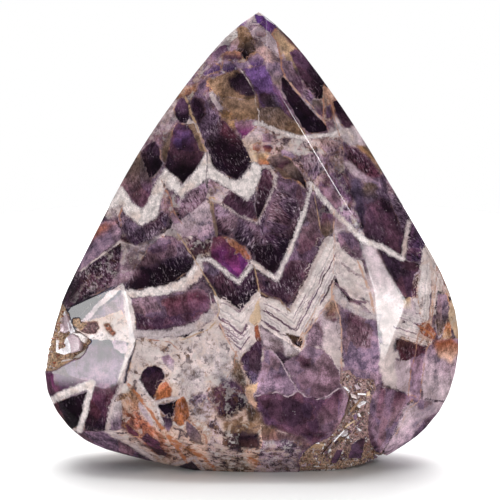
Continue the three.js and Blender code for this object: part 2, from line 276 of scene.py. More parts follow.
    ("pink field", "rose", "cloud", 0, 2, 0.6, "274,134 300,139 320,140 326,150 312,155 298,154 280,149 "
     "272,144"),
    ("speckled grey", "cloud", "rose", 0, 2, 0.8, "296,138 315,142 322,150 308,152 298,148"),
    ("violet swirl", "haze", "mauve", 10, 1.5, 1.0, "298,156 315,152 327,158 324,172 314,179 306,176 "
     "303,166"),
    ("lilac oval", "rose", "haze", 10, 0.9, 0.9, "320,140 332,139 340,142 338,152 326,153 320,148"),
    ("brown crystal by the zigzag", "smoke", "black", 25, 1, 0.3, "266,160 272,155 281,154 292,160 "
     "300,171 306,181 307,191 297,181 284,177 275,168"),
    ("its wine roof", "rose", "wine", 25, 3, 0.3, "270,158 280,156 290,162 282,168 273,164"),
    ("right marble", "mauve", "plum", 15, 2, 0.7, "326,155 340,150 352,165 356,190 354,208 342,196 "
     "330,190 322,200 316,190 322,175"),
    ("smoky nook", "rose", "ash", 10, 2, 0.5, "328,158 338,152 348,160 345,172 334,170"),
    ("violet by the peak", "mauve", "mauve", 20, 1.5, 0.4, "322,186 334,190 342,206 336,210 326,202"),
    # Right
    ("cloud at the right edge", "cloud", "pale", 30, 2, 0.5, "334,116 341,124 347,131 353,125 384,150 "
     "376,160 364,152 350,146 342,140 334,130"),
    ("right dark block", "mauve", "ink", 25, 1, 0.7, "343,142 352,146 364,152 390,160 440,236 424,240 "
     "408,222 406,240 404,256 385,248 366,238 358,215 352,190 345,168"),
    ("right edge olive", "honey", "smoke", 30, 2, 0.3, "356,146 366,146 386,166 380,174 370,162 360,152"),
    ("upper night", "plum", "wine", 25, 2, 1.0, "346,146 358,149 370,160 380,176 372,180 356,168 346,158"),
    ("cloud line", "pale", "lilac", 30, 2, 0.4, "344,162 350,162 366,176 380,182 382,188 366,184 350,172"),
    ("olive grey", "smoke", "slate", 20, 2, 0.5, "364,182 378,184 378,200 368,204 362,192"),
    ("night one", "slate", "ink", 5, 3, 0.3, "352,178 360,180 366,212 362,230 355,212 350,192"),
    ("night two", "ink", "plum", 15, 4, 0.4, "380,196 392,205 404,236 402,254 388,246 380,222"),
    ("mauve between", "plum", "dusk", 10, 3, 0.4, "366,206 378,200 382,236 374,242 366,236"),
    ("streaked edge", "haze", "dusk", 60, 1.5, 1.0, "384,178 396,180 424,220 408,222 402,232 392,206"),
    ("striated triangle", "plum", "grape", 60, 1.2, 1.0, "408,222 416,214 440,244 424,246 421,262 406,262"),
    ("dark below the arm", "dusk", "plum", 15, 1, 0.4, "374,244 385,252 400,258 412,262 421,264 418,276 "
     "412,288 418,298 405,299 395,285 385,268"),
    ("night below the arm", "dusk", "dusk", 15, 4, 0.3, "380,250 396,258 404,266 398,284 386,266"),
    ("plum lens", "olive", "wine", 10, 1, 0.3, "419,270 420,296 413,299 412,288 415,276"),
    ("violet under the arm", "mauve", "mauve", 15, 1.2, 0.5, "336,228 346,226 358,238 362,258 352,258 "
     "340,248"),
    ("grey wedge", "haze", "cloud", 10, 2, 0.3, "334,213 345,222 352,232 338,232 333,250"),
    ("pink white field", "bone", "bone", 15, 1.5, 0.4, "333,240 342,250 352,258 362,260 370,285 380,320 "
     "362,304 350,297 340,286 333,270"),
    ("grey in the field", "milk", "bone", 15, 3, 0.4, "338,276 352,282 364,292 360,298 346,290"),
    ("under the gleam", "pale", "bone", 15, 2, 0.3, "362,236 374,244 386,268 404,300 402,328 394,345 "
     "384,345 376,318 368,285"),
    ("right pink white", "bone", "peach", 10, 1.5, 0.4, "421,262 424,244 440,240 462,300 447,296 438,290 "
     "432,325 422,325 416,300 418,280"),
    ("striated white", "ash", "bone", 80, 1.5, 1.0, "421,266 430,262 432,290 430,320 422,322 418,296"),
    ("grey shelf", "pale", "cloud", 10, 1.5, 0.4, "402,300 418,298 422,325 410,322 398,318"),
    ("rust streak zone", "sand", "bone", 10, 1.5, 0.3, "402,297 410,298 412,310 404,308"),
    ("pale band right", "cloud", "peach", 10, 1.2, 0.5, "394,325 410,322 424,328 434,336 430,347 412,342 "
     "395,338"),
    ("rust nook", "rust", "rust", 10, 1.5, 0.5, "419,324 430,322 436,334 434,340 422,334"),
    ("dark right strip", "haze", "smoke", 5, 1, 0.7, "438,294 446,294 452,310 447,322 442,334 438,338 "
     "436,325"),
    ("sand rim", "cream", "sand", 10, 1.5, 0.4, "450,300 470,300 474,340 456,340 451,328 448,318"),
    ("orange nook", "orange", "sand", 0, 1.5, 0.4, "446,320 451,326 452,336 446,344 440,342 442,334"),
    ("maroon", "umber", "wine", 10, 1, 0.6, "394,338 410,342 427,347 425,362 418,362 400,361"),
    # Lower right
    ("lilac pillar", "pale", "pale", 5, 1.5, 0.2, "394,360 411,361 414,396 399,392 392,380"),
    ("plum pillar", "mauve", "lilac", 12, 1.5, 0.3, "411,358 426,352 421,398 410,397"),
    ("pale right", "haze", "pale", 5, 1.5, 0.4, "426,348 440,340 456,338 476,345 474,400 440,400 424,398 "
     "421,380"),
    ("brown top", "rust", "peach", 5, 3, 0.3, "434,342 452,338 462,350 452,362 438,356"),
    # Painted reflection: the lower end of the right gleam, as a pale patch
    ("white pillar", "bone", "bone", 10, 2, 0.2, "380,345 394,345 395,366 398,390 386,386 380,370"),
    ("violet under the facet edge", "plum", "lilac", 20, 1, 0.3, "370,384 386,388 400,391 416,397 408,403 "
     "400,420 390,440 380,455 371,450 367,432 368,410"),
    ("lighter seam in it", "mauve", "mauve", 12, 1.5, 0.3, "385,388 395,390 392,410 384,440 378,452 "
     "374,450 382,420"),
    ("grey sheet", "plum", "haze", 20, 2, 0.3, "396,392 410,396 402,410 392,426 386,430 392,408"),
    ("mauve foot", "pale", "lilac", 35, 1.5, 0.2, "416,398 434,402 470,402 430,440 400,470 378,462 "
     "385,448 396,430 406,408"),
    ("dark wedge", "mauve", "haze", 20, 2, 0.3, "412,396 428,401 432,404 422,410 414,406"),
    ("dusky rim", "mauve", "mauve", 35, 2, 0.3, "424,420 450,402 470,400 430,450 396,470 384,466 404,448"),
    # Lower middle
    ("block under the V", "haze", "plum", 18, 1.2, 0.7, "290,255 298,235 306,218 312,202 320,216 331,226 "
     "324,240 316,256 308,272 300,286 292,301 286,304 280,300 262,292 257,284 254,270 276,283"),
    ("its cloud", "mauve", "plum", 18, 4, 0.4, "304,226 316,222 322,236 312,252 300,254 298,240"),
    ("night under the V", "dusk", "dusk", 18, 4, 0.8, "258,276 276,284 290,262 306,262 296,288 "
     "284,300 264,290"),
    ("rust tip", "plum", "smoke", 10, 1.2, 0.4, "322,212 336,214 333,232 326,238 320,230"),
    ("milky V field", "chalk", "chalk", 18, 1.2, 0.4, "259,296 275,302 290,310 300,291 312,266 322,242 "
     "332,236 336,250 335,275 332,300 322,318 312,335 302,354 290,345 275,335 261,325"),
    ("left V field", "chalk", "bone", 0, 1.2, 0.4, "214,295 228,302 240,312 250,300 259,290 262,300 "
     "259,325 262,335 255,345 240,359 232,350 224,335 219,320 217,305"),
    ("orange in the V", "cream", "cream", 0, 1.2, 0.3, "250,316 259,298 261,318 257,326 249,321"),
    ("brown slot", "rust", "umber", 0, 1, 0.3, "254,327 259,326 262,340 258,345 255,338"),
    ("green black nook", "olive", "black", 10, 1, 0.7, "284,332 297,336 303,337 301,349 293,344 288,338"),
    ("dark under the left V", "plum", "slate", 10, 1, 0.8, "240,360 248,350 258,340 263,346 262,365 "
     "257,380 251,387 246,375"),
    ("mauve under the milky V", "pale", "dusk", 25, 2, 0.4, "261,328 272,334 285,344 294,353 288,360 "
     "278,358 268,350 263,342"),
    ("grey V foot", "cloud", "ash", 15, 2, 0.5, "280,338 292,346 300,352 298,360 286,356"),
    ("grey violet field", "haze", "mauve", 10, 1.5, 0.2, "284,362 298,354 308,345 320,348 332,356 340,372 "
     "343,386 336,391 328,397 318,399 305,396 298,391 290,378"),
    ("violet spot", "plum", "dusk", 0, 4, 0.3, "296,356 310,358 312,366 302,368"),
    ("lilac triangle", "lilac", "lilac", 0, 0.8, 0.15, "265,350 272,350 280,360 290,378 298,391 288,397 "
     "276,393 266,394 256,396 256,388 260,370 264,356"),
    ("its dark eye", "plum", "mauve", 0, 3, 0.2, "272,374 280,375 282,380 274,380"),
    ("misty crystal", "pale", "bone", 15, 1.5, 0.3, "318,312 333,297 341,318 342,345 341,378 332,356 "
     "322,346 316,336"),
    ("brown mist", "tan", "plum", 10, 2, 0.6, "322,306 333,298 340,310 338,322 326,320"),
    ("plum mist", "haze", "haze", 15, 2, 0.5, "308,326 320,318 324,334 322,348 310,345 304,350"),
    ("violet column", "haze", "lilac", 2, 1.5, 0.3, "340,300 350,306 362,315 376,319 380,345 378,380 "
     "345,374 342,345"),
    ("column's night", "plum", "mauve", 0, 4, 0.8, "346,312 364,320 374,330 372,348 358,348 348,330"),
    ("violet under the scallops", "plum", "plum", 15, 1, 0.3, "256,396 266,394 276,392 288,397 298,391 "
     "306,396 318,399 328,397 336,391 344,387 350,397 344,415 336,431 318,435 300,437 280,431 262,424 "
     "254,412"),
    ("its dark heart", "dusk", "dusk", 10, 5, 0.3, "262,400 290,398 310,402 316,418 296,428 268,420"),
    ("its clear right", "plum", "mauve", 10, 2, 0.2, "328,398 344,390 349,400 342,416 334,430 320,432 "
     "318,412"),
    ("dark foot of it", "dusk", "plum", 0, 2, 0.3, "300,434 318,434 330,432 326,442 312,444"),
    ("brown veil", "olive", "liver", 0, 2.5, 0.4, "256,420 280,430 302,438 312,446 300,452 270,446 "
     "250,436"),
    ("mottled foot", "haze", "pale", 10, 2, 0.9, "242,452 262,442 285,438 300,442 302,455 300,490 246,490"),
    ("seam ground", "haze", "plum", 10, 2, 0.4, "338,366 380,374 378,400 372,430 380,455 390,465 380,480 "
     "296,480 298,455 330,434 344,400"),
    # Lower left matrix
    ("matrix", "bone", "peach", 20, 1.5, 0.4, "127,338 185,337 215,320 234,352 250,382 246,400 262,425 "
     "262,445 250,490 130,480 106,430 118,395"),
    ("cream bank", "chalk", "bone", 0, 3, 0.2, "128,346 150,344 162,352 162,364 146,366 128,364"),
    ("warm cloud", "bone", "cloud", 0, 3, 0.3, "186,344 205,332 220,330 228,345 234,360 226,366 210,363 "
     "195,358"),
    ("white bank", "bone", "chalk", 0, 3, 0.2, "170,366 186,360 214,364 212,380 190,392 172,388"),
    ("mauve speck", "lilac", "ash", 0, 1, 0.3, "160,357 168,354 176,360 174,373 167,368"),
    ("grey green", "cloud", "cloud", 0, 3, 0.4, "214,362 230,358 236,370 232,382 222,383 212,373"),
    ("mauve veil", "cloud", "bone", -20, 2.5, 0.8, "180,372 196,364 206,372 204,392 190,402 180,394"),
    ("mauve veil two", "haze", "cloud", -10, 2.5, 0.7, "188,396 208,392 214,410 206,424 192,416"),
    ("brown column", "olive", "olive", 10, 2.5, 0.5, "233,356 241,362 247,386 250,402 260,414 264,426 "
     "250,428 244,410 238,392 232,374"),
    ("dark cloud", "plum", "ink", 20, 3, 0.5, "213,388 222,382 236,380 244,390 247,404 240,412 230,420 "
     "217,416 211,402"),
    ("cream flake", "sand", "peach", 0, 0.8, 0.2, "246,386 258,383 256,392 253,396 258,404 254,408 "
     "248,402 246,395"),
    ("grey mottle", "pale", "sand", 10, 2, 0.9, "208,418 222,422 222,440 236,450 246,455 250,490 222,488 "
     "208,462 206,445"),
    ("smoke", "tan", "olive", 0, 2.5, 0.3, "222,423 240,419 260,424 262,434 240,437 224,432"),
    ("brown nest", "umber", "umber", 0, 2, 0.6, "221,433 240,433 258,433 261,447 250,450 240,453 226,449"),
    ("nest's night", "black", "umber", 0, 2, 0.3, "236,437 246,434 258,434 258,446 246,450 237,445"),
    ("brown ground", "honey", "clay", 20, 2, 0.7, "118,396 134,386 143,402 139,412 128,418 110,420"),
    ("orange ground", "rust", "rust", 40, 2, 0.7, "108,418 135,410 150,424 165,438 174,456 160,458 "
     "140,442 120,426"),
    ("wine lens", "wine", "wine", 40, 1, 0.4, "123,424 128,424 138,433 140,437 134,437 127,431"),
    ("wine lens two", "wine", "wine", 40, 1.5, 0.4, "141,438 147,433 157,441 164,450 167,457 158,454 "
     "148,446"),
    ("dark eye", "ink", "dusk", -25, 1, 0.3, "139,380 142,372 148,366 156,365 162,369 165,376 163,382 "
     "159,388 156,396 153,400 148,395 143,388"),
    ("orange flake", "rust", "orange", 0, 1, 0.6, "160,385 166,380 172,388 171,397 162,400 154,401 "
     "157,393"),
    ("black triangle", "black", "ink", 0, 0.8, 0.2, "156,405 178,400 174,412 171,420 163,414 158,408"),
    ("its slate foot", "dusk", "mauve", 0, 1, 0.4, "161,416 172,418 173,425 168,432 162,426"),
    ("orange flake two", "orange", "orange", 5, 1, 0.6, "178,400 184,396 187,402 189,416 184,424 180,427 "
     "174,420 175,410"),
    ("mauve lens", "haze", "smoke", 35, 1.5, 0.3, "186,421 192,424 200,434 204,445 196,444 190,438 "
     "185,430"),
    ("brown speckles", "peach", "clay", 30, 2, 1.0, "170,438 190,445 192,458 176,459 168,450"),
    ("violet foot", "dusk", "plum", 20, 1, 0.3, "176,466 192,461 204,474 204,490 180,486"),
    # Left window and corner
    ("window", "glass", "glass", 30, 1, 0.2, "62,310 110,287 124,284 136,325 136,343 126,382 105,389 "
     "90,384 50,374 45,368 60,350 58,325"),
    ("window stripe", "pale", "bone", 60, 1.5, 0.2, "80,321 92,309 108,293 120,285 124,287 112,298 "
     "100,308 88,320"),
    ("window lilac", "haze", "haze", 30, 3, 0.2, "88,322 106,304 124,292 132,316 116,318"),
    ("window ground", "peach", "bone", 0, 1.5, 0.6, "76,330 84,321 100,318 120,311 128,318 133,332 "
     "132,342 112,341 90,338"),
    # Painted reflection: a pale wedge where a small facet catches the light
    ("white wedge", "milk", "chalk", 0, 1, 0.2, "122,284 130,296 135,318 136,340 131,346 128,328 124,306"),
    ("rim wedge", "white", "milk", 0, 1, 0.1, "53,366 62,362 72,360 84,354 76,362 66,367 55,371"),
    ("window lilac piece", "lilac", "pale", 30, 1.2, 0.3, "110,340 126,342 130,352 122,354 114,348"),
    ("window lavender", "plum", "haze", 0, 2.5, 0.2, "46,372 66,362 86,350 100,342 116,350 126,362 "
     "120,382 104,390 88,384 66,378"),
    ("corner violet", "royal", "plum", 40, 1.5, 0.2, "20,370 50,373 66,376 92,382 88,385 58,397 30,408"),
    ("corner black", "black", "black", 10, 0.8, 0.4, "40,406 58,401 88,391 86,402 82,416 78,428 66,428 "
     "50,424"),
    ("corner wine", "wine", "wine", 20, 1.5, 0.3, "30,404 56,401 68,426 62,440 40,430"),
    ("corner plum", "wine", "ink", 10, 1, 0.5, "93,384 106,388 120,383 117,392 112,405 108,420 107,432 "
     "84,432 84,420 88,405"),
    ("corner strip", "cloud", "haze", 10, 1.5, 0.6, "112,402 122,400 122,415 121,430 108,430"),
    ("bevel violet", "mauve", "plum", 30, 1.5, 0.6, "74,430 106,432 120,440 140,452 158,463 150,486 "
     "90,470 60,446"),
]

# How far a marking is broken up into grains of other colours; the rest are clear or fibrous
MOTTLED = {
    "upper body": 0.5, "left shoulder": 0.6, "left fragments": 0.8, "brown nook": 0.6, "left edge lilac": 0.5,
    "dark mottled block": 0.5, "mottled pink": 0.7, "marble": 1.0, "right marble": 0.35, "speckled grey": 1.0,
    "pink field": 0.9, "violet swirl": 0.3, "white under plum": 0.4, "small mauve": 0.6, "lilac ground": 0.6,
    "pale wedge": 0.5, "left tuft": 0.6, "right pink white": 0.5, "matrix": 1.0, "warm cloud": 0.6,
    "white bank": 0.7, "cream bank": 0.5, "grey green": 0.6, "brown column": 0.25, "grey mottle": 1.0,
    "mottled foot": 0.9, "smoke": 0.6, "brown nest": 0.9, "brown ground": 0.6, "orange ground": 0.6,
    "brown speckles": 1.0, "mauve veil": 0.5, "mauve veil two": 0.8, "window ground": 0.6, "rust zone": 0.5,
    "orange nook": 0.6, "rust nook": 0.6, "dark cloud": 0.5, "smoky nook": 0.5, "grey in the field": 0.3,
    "pink white field": 0.25, "milky V field": 0.2, "left V field": 0.2, "brown mist": 0.4, "sand rim": 0.4,
}

# Fields made of thin layers: how strong they are, the line that they follow, how much thinner they are on
# each of its stretches
LAYERED = {
    "milky V field": (1.0, "259,289 292,312 331,236", (1.0, 1.1)),
    "left V field": (1.0, "216,294 241,313 260,290", (0.84, 1.07)),
    "pink white field": (0.5, "335,225 362,248 410,275", (0.54, 0.54)),
    "under the gleam": (0.5, "335,225 362,248 410,275", (0.45, 0.45)),
    "right pink white": (0.6, "414,325 420,244", (0.9,)),
    "striated white": (0.85, "416,325 422,244", (1.1,)),
    "grey shelf": (0.6, "396,292 436,304", (1.0,)),
    "pale band right": (0.7, "394,312 434,325", (1.0,)),
}
# The layers from that edge downwards: pixels, colour
LAYERS = [
    (0, "bone"), (2, "milk"), (6.4, "chalk"), (7.4, "cloud"), (8.4, "milk"), (11, "bone"), (12.8, "milk"),
    (13.4, "haze"), (14.2, "plum"), (15, "chalk"), (17, "milk"), (18.2, "pale"), (19.4, "milk"), (21, "cloud"),
    (22.6, "milk"), (23.4, "haze"), (24.2, "plum"), (25.2, "bone"), (28, "chalk"), (31, "cloud"), (36, "haze"),
]
LAYERS_DEPTH = 40                           # pixels

# Pale bands with a fixed width: name, colour, width and raggedness in pixels, line
BANDS = [
    ("thin upper band", "milk", 4.5, 0.8, "254,124 262,125 272,129 286,134 300,138 318,136 330,135 "
     "340,131"),
    ("upper band corner", "bone", 6, 1.5, "338,134 348,130 352,140"),
    ("V over the great crystal", "cream", 2.5, 0.5, "243,140 249,151 254,163"),
    ("second white band", "milk", 8, 1.8, "130,294 142,294 152,291 166,291 177,287 188,280 197,268"),
    ("second band knee", "bone", 8, 2.0, "186,284 196,280 198,266"),
    ("third white band", "cloud", 8.5, 1.8, "136,334 152,335 168,334 184,331 198,325 211,314 214,306"),
    ("violet crystal's V", "milk", 4, 0.5, "196,262 204,259 211,260 224,271 238,283 245,275 252,264"),
    ("thin V in the striated block", "bone", 1.8, 0.5, "211,200 225,206 240,216 258,223 266,206 273,190 "
     "276,176"),
    ("thin V's head", "bone", 3.5, 0.5, "262,166 270,168 275,176 275,186"),
    ("centre V", "milk", 5, 0.8, "252,262 264,271 277,279 284,263 291,247 298,230 303,214 308,199 312,186"),
    ("right arm", "milk", 6, 1.0, "311,183 322,198 335,213 346,223 357,235 368,242 380,247 392,253 "
     "403,259"),
    ("right arm end", "bone", 4.5, 0.5, "403,259 405,245 409,222"),
    ("white curve", "cloud", 7, 1.4, "334,288 338,297 347,305 357,312 367,316 378,318"),
    ("corner band", "milk", 8, 1.0, "36,411 58,397 72,391 92,384"),
    ("corner band two", "milk", 6, 0.8, "92,384 89,395 85,412 79,430"),
    ("corner band three", "bone", 4, 0.8, "121,384 114,400 109,418 107,431"),
    ("foot band", "bone", 4, 1.0, "107,431 122,439 138,449 156,461"),
    ("foot V", "bone", 2.5, 0.5, "172,464 186,461 195,457 199,463 206,474"),
    ("dark eye's rim", "milk", 3, 0.5, "138,380 144,390 152,401"),
    ("triangle's rim", "milk", 2.5, 0.5, "178,398 166,400 155,403 158,412 163,424"),
    # Painted highlights: a bright sliver and a light ridge where small facets catch the light, drawn as pale
    # bands
    ("white sliver", "milk", 2.4, 0.4, "122,285 124,300 129,322 131,344"),
    ("ridge", "bone", 6, 0.5, "131,346 126,362 120,382"),
    ("cream patch of the shard", "pale", 4, 0.5, "140,405 146,414 152,424"),
]

# Filled white areas: name, colour, outline
FIELDS = [
    ("great zigzag", "milk", "90,216 122,186 128,196 135,204 142,209 147,205 151,195 153,185 158,179 "
     "163,171 166,168 172,173 178,180 182,185 188,178 195,170 200,163 205,152 209,152 211,160 213,167 "
     "220,172 230,178 236,181 242,177 248,170 253,161 256,162 262,167 260,174 258,184 254,193 248,200 "
     "240,196 232,191 224,187 216,181 208,178 204,182 195,187 187,193 181,199 174,192 168,186 164,183 "
     "163,193 161,203 159,212 156,218 149,222 143,226 137,224 130,217 124,211 121,206 113,208"),
]

# Thin veins: name, colour, width in pixels, line
VEINS = [
    ("apex rust", "clay", 1.6, "277,29 272,34 278,45 281,58 281,68 285,76"),
    ("apex rust two", "sand", 1.0, "279,31 280,44 283,58"),
    ("crystal's pink edge", "peach", 1.6, "284,76 300,95 311,106 319,116 326,124"),
    ("citrine edge", "bone", 1.2, "241,70 252,86 256,97 255,104 259,112 258,124"),
    ("rust pair", "clay", 1.3, "325,84 329,95 333,108 335,120 341,140"),
    ("rust pair two", "clay", 1.2, "324,92 323,118 328,130"),
    ("left beige edge", "sand", 2.4, "182,94 189,106 191,115 196,123"),
    ("left orange edge", "sand", 1.4, "196,123 200,135 204,146 207,153"),
    ("grey seam in the zigzag", "ash", 1.8, "207,152 207,168 206,184 209,198"),
    ("brown vein", "smoke", 3.6, "209,198 211,210 215,222 217,234"),
    ("orange vein in the zigzag", "clay", 1.6, "162,182 167,191 171,200 173,210 178,218 182,223"),
    ("short orange", "clay", 1.3, "122,209 119,216 121,226"),
    ("white line of the lilac block", "bone", 1.6, "122,241 112,248 100,256 80,271"),
    ("brown contour", "sand", 1.4, "178,234 185,244 191,254 197,263 203,274 211,286 217,298 219,310 "
     "216,322 207,330 195,335 184,339"),
    ("rust under the V", "sand", 1.2, "253,264 257,278 259,290"),
    ("rust down the centre", "sand", 0.9, "313,186 316,205 319,222 322,238 327,246"),
    ("rust down the centre two", "peach", 1.2, "334,212 334,228 335,242"),
    ("pink line", "peach", 1.4, "334,245 334,262 332,282 331,300"),
    ("milky V line one", "plum", 1.5, "264,311 273,317 280,321 290,327 295,329"),
    ("milky V line two", "plum", 1.8, "262,321 270,327 280,333 284,335"),
    ("milky V line three", "haze", 1.1, "296,328 303,313 311,300 318,285 325,268"),
    ("milky V line four", "mauve", 1.3, "322,298 328,285 333,275"),
    ("milky V line five", "haze", 0.9, "263,303 274,308 286,314 293,318 300,306 308,291 316,274"),
    ("milky V line six", "peach", 1.2, "299,340 306,326 314,312 323,294"),
    ("milky V edge", "peach", 1.6, "302,349 305,335 312,325 322,312 333,297"),
    ("orange tip", "tan", 1.8, "262,293 270,297 280,300 286,307 290,311"),
    ("left V line one", "mauve", 1.5, "222,318 229,323 235,330 240,334 245,328 248,322"),
    ("left V line two", "mauve", 1.5, "228,335 234,340 240,346 245,341"),
    ("left V line three", "haze", 1.2, "221,302 228,305 238,312"),
    ("left V line four", "haze", 1.0, "222,326 230,332 240,340 247,332"),
    ("left V edge", "peach", 1.3, "219,322 224,334 232,348 238,357"),
    ("orange right field", "peach", 2.4, "358,262 364,276 370,292 374,312"),
    ("rust right", "clay", 1.2, "437,262 436,280 434,300 432,324"),
    ("rust far right", "clay", 1.2, "427,246 436,262 446,286"),
    ("rust in the nook", "orange", 2, "419,326 428,332 436,340"),
    ("rust pillar", "clay", 1.4, "432,340 427,348 425,362 422,380 420,398"),
    ("rust pillar two", "clay", 1.2, "420,330 416,350 411,372 408,396 412,400"),
    ("rust facet", "peach", 1.1, "418,402 408,410 402,424 396,434"),
    ("brown line by the column", "peach", 1.6, "333,298 340,316 342,345 341,362 343,382"),
    ("triangle's pale edge", "pale", 1.3, "272,350 281,362 290,379 298,391"),
    ("scallop edge", "pale", 1.3, "256,396 266,394 276,392 288,397 298,391 306,397"),
    ("scallop edge two", "pale", 1.2, "318,399 328,396 336,390 344,387"),
    ("orange main", "orange", 3.2, "128,384 134,391 142,401 150,411 158,424 168,436 178,450 186,461"),
    ("orange two", "orange", 3.2, "164,432 180,445 200,455 212,466 228,480"),
    ("orange three", "clay", 2.4, "187,420 198,428 206,437 207,448"),
    ("rust flecks", "clay", 1.6, "206,374 212,384 206,394 212,404"),
    ("rust flecks two", "clay", 1.4, "150,340 170,342 178,350"),
    ("rust spot", "orange", 5, "250,459 257,463"),
    ("rust column", "clay", 1.3, "236,352 234,366 228,376"),
    ("dark line over the curve", "mauve", 1.8, "336,284 346,294 356,301 366,303"),
]

# Sunken places, in pixels: name, depth in mm, colour of the floor, outline
HOLLOWS = [
    ("vug", 2.6, "sand", "36,300 61,301 65,308 70,318 74,330 80,333 87,337 91,341 88,346 85,352 80,357 "
     "70,361 62,365 56,369 50,371 36,372"),
    ("seam", 2.0, "rose", "341,372 350,370 356,378 373,380 376,388 372,398 369,412 368,428 370,441 "
     "375,452 386,455 388,460 378,480 360,490 320,492 300,490 299,462 303,454 312,446 322,441 331,437 "
     "336,429 343,418 347,408 349,398 345,389 340,382"),
    ("brown hole", 1.3, "liver", "80,322 90,323 97,322 99,328 96,333 88,334 80,331 76,327"),
    ("yellow pit", 0.7, "sand", "73,319 79,318 81,324 77,328 73,325"),
    ("crumbs", 0.7, "rust", "104,325 109,324 112,330 116,333 112,336 106,331"),
]
ISLANDS = ["348,458 352,445 361,438 366,438 363,452 361,459", "331,463 334,456 338,450 343,450 341,457 336,464",
           "353,415 357,413 358,418 355,421"]      # polished again inside the seam

# Large crystals in the hollows: colour, how deep their top lies in mm, outline in pixels
SLABS = [
    ("white", 0.25, "54,340 60,338 66,337 70,340 69,346 70,352 62,354 55,352"),
    ("pale", 0.2, "66,337 72,334 78,338 80,345 79,351 71,353 69,346"),
    ("white", 0.25, "56,362 62,360 73,359 68,363 61,367 55,369"),
    ("pale", 0.35, "58,323 61,317 64,313 67,322 69,330 63,333 58,331"),
    ("white", 0.2, "63,310 66,311 70,320 74,332 70,333 67,323"),
    ("milk", 0.35, "72,333 80,333 87,338 84,344 80,341 77,336"),
    ("white", 0.4, "61,333 71,332 73,335 66,337 60,336"),
    ("smoke", 0.5, "79,353 84,347 89,344 90,347 85,355 78,359 70,359 74,356"),
    ("white", 0.3, "343,386 346,386 350,391 347,391"),
    ("bone", 0.3, "350,393 356,395 358,399 352,397"),
    ("cloud", 0.4, "354,400 358,399 362,402 363,406 358,407"),
    ("white", 0.3, "359,415 361,414 362,417 360,418"),
    ("white", 0.3, "359,429 361,429 363,432 361,432"),
    ("white", 0.3, "358,458 364,459 363,462 357,461"),
    ("cloud", 0.5, "339,437 346,433 350,432 348,435 343,438"),
    ("pale", 0.5, "353,384 358,385 361,389 357,390"),
    ("sand", 0.3, "303,458 306,451 314,448 324,448 321,453 311,458"),
    ("cream", 0.3, "367,393 370,391 371,396 368,397"),
]
# Thin blades there: colour, width in pixels, line. The white ones are partly painted glints: white crystals
# that also stand in for sparkles of light
BLADES = [
    ("white", 3.4, "321,466 331,451"), ("white", 2.2, "322,465 325,469"), ("white", 2.2, "324,470 336,473"),
    ("white", 1.6, "319,468 333,469"), ("cream", 1.6, "348,426 356,421"), ("white", 1.6, "336,439 345,431"),
    ("bone", 1.8, "352,446 361,441"), ("white", 1.6, "363,446 368,441"), ("bone", 1.5, "340,446 346,441"),
    ("white", 1.8, "360,395 366,395"), ("cream", 1.8, "321,446 325,446"), ("white", 1.6, "314,443 320,445"),
    ("white", 1.6, "301,451 306,451"), ("smoke", 2.2, "337,447 352,433"), ("umber", 1.8, "324,453 332,444"),
    ("smoke", 2.4, "345,415 351,401"), ("umber", 2.0, "347,405 351,395"), ("tan", 2.6, "353,409 362,399"),
    ("white", 1.4, "372,453 377,455"), ("white", 1.4, "377,457 380,458"), ("bone", 1.6, "330,430 337,427"),
]


def smoothstep(low, high, value):
    t = np.clip((value - low) / (high - low), 0, 1)
    return t * t * (3 - 2 * t)


def scramble(cell, seed):
    """Numbers from 0 to 1 that stay the same for a cell of whole numbers."""
    mixed = cell[..., 0] * 374761393 + cell[..., 1] * 668265263 + cell[..., 2] * 2147483647 + seed * 974711
    mixed = (mixed ^ (mixed >> 13)) * 1274126177
    return ((mixed ^ (mixed >> 16)) & 0xFFFFFF) / float(0xFFFFFF)


def noise(points, size, seed=0):
    """Soft noise from -1 to 1 whose lumps are about `size` across."""
    scaled = points / size
    cell = np.floor(scaled).astype(np.int64)
    part = scaled - cell
    part = part * part * (3 - 2 * part)
    total = np.zeros(len(points))
    for corner in range(8):
        step = np.array([corner & 1, (corner >> 1) & 1, corner >> 2])
        weight = np.prod(np.where(step, part, 1 - part), axis=1)
        total += weight * scramble(cell + step, seed)
    return total * 2 - 1


def rough_noise(points, size, seed=0, octaves=3):
    total = np.zeros(len(points))
    for octave in range(octaves):
        total += noise(points, size / 2 ** octave, seed + octave) / 2 ** octave
    return total


def direction(turn, tilt):
    turn, tilt = math.radians(turn), math.radians(tilt)
    return Vector((math.sin(turn) * math.cos(tilt), -math.cos(turn) * math.cos(tilt), math.sin(tilt)))


# Places in the photograph's frame
VIEW_BACK = np.array(direction(0, CAMERA_ELEVATION))
VIEW_UP = np.array([0, VIEW_BACK[2], -VIEW_BACK[1]])
EYE = np.array(CAMERA_TARGET) + VIEW_BACK * CAMERA_DISTANCE
PIXEL_ANGLE = FRAME_WIDTH / FRONT_DISTANCE / FRAME
PIXEL = 0.312                               # mm on the stone's front


def photo_place(points):
    """Where points in mm lie in the frame, in pixels; towards the back the place drifts away."""
    offset = points - EYE
    depth = -(offset @ VIEW_BACK)
    place = np.column_stack([offset[:, 0] / depth, -(offset @ VIEW_UP) / depth]) / PIXEL_ANGLE + FRAME / 2
    behind = smoothstep(-2, 26, points[:, 1])[:, None]
    wander = smoothstep(-8, 14, points[:, 1])[:, None]
    sway = np.column_stack([rough_noise(points, 20, 60), rough_noise(points, 20, 70)])
    fray = np.column_stack([rough_noise(points, 2.6, 80), rough_noise(points, 2.6, 90)])
    return place + behind * (38, -22) + wander * 11 * sway + 0.6 * fray


def corners_of(text):
    return np.array([[float(number) for number in pair.split(",")] for pair in text.split()])


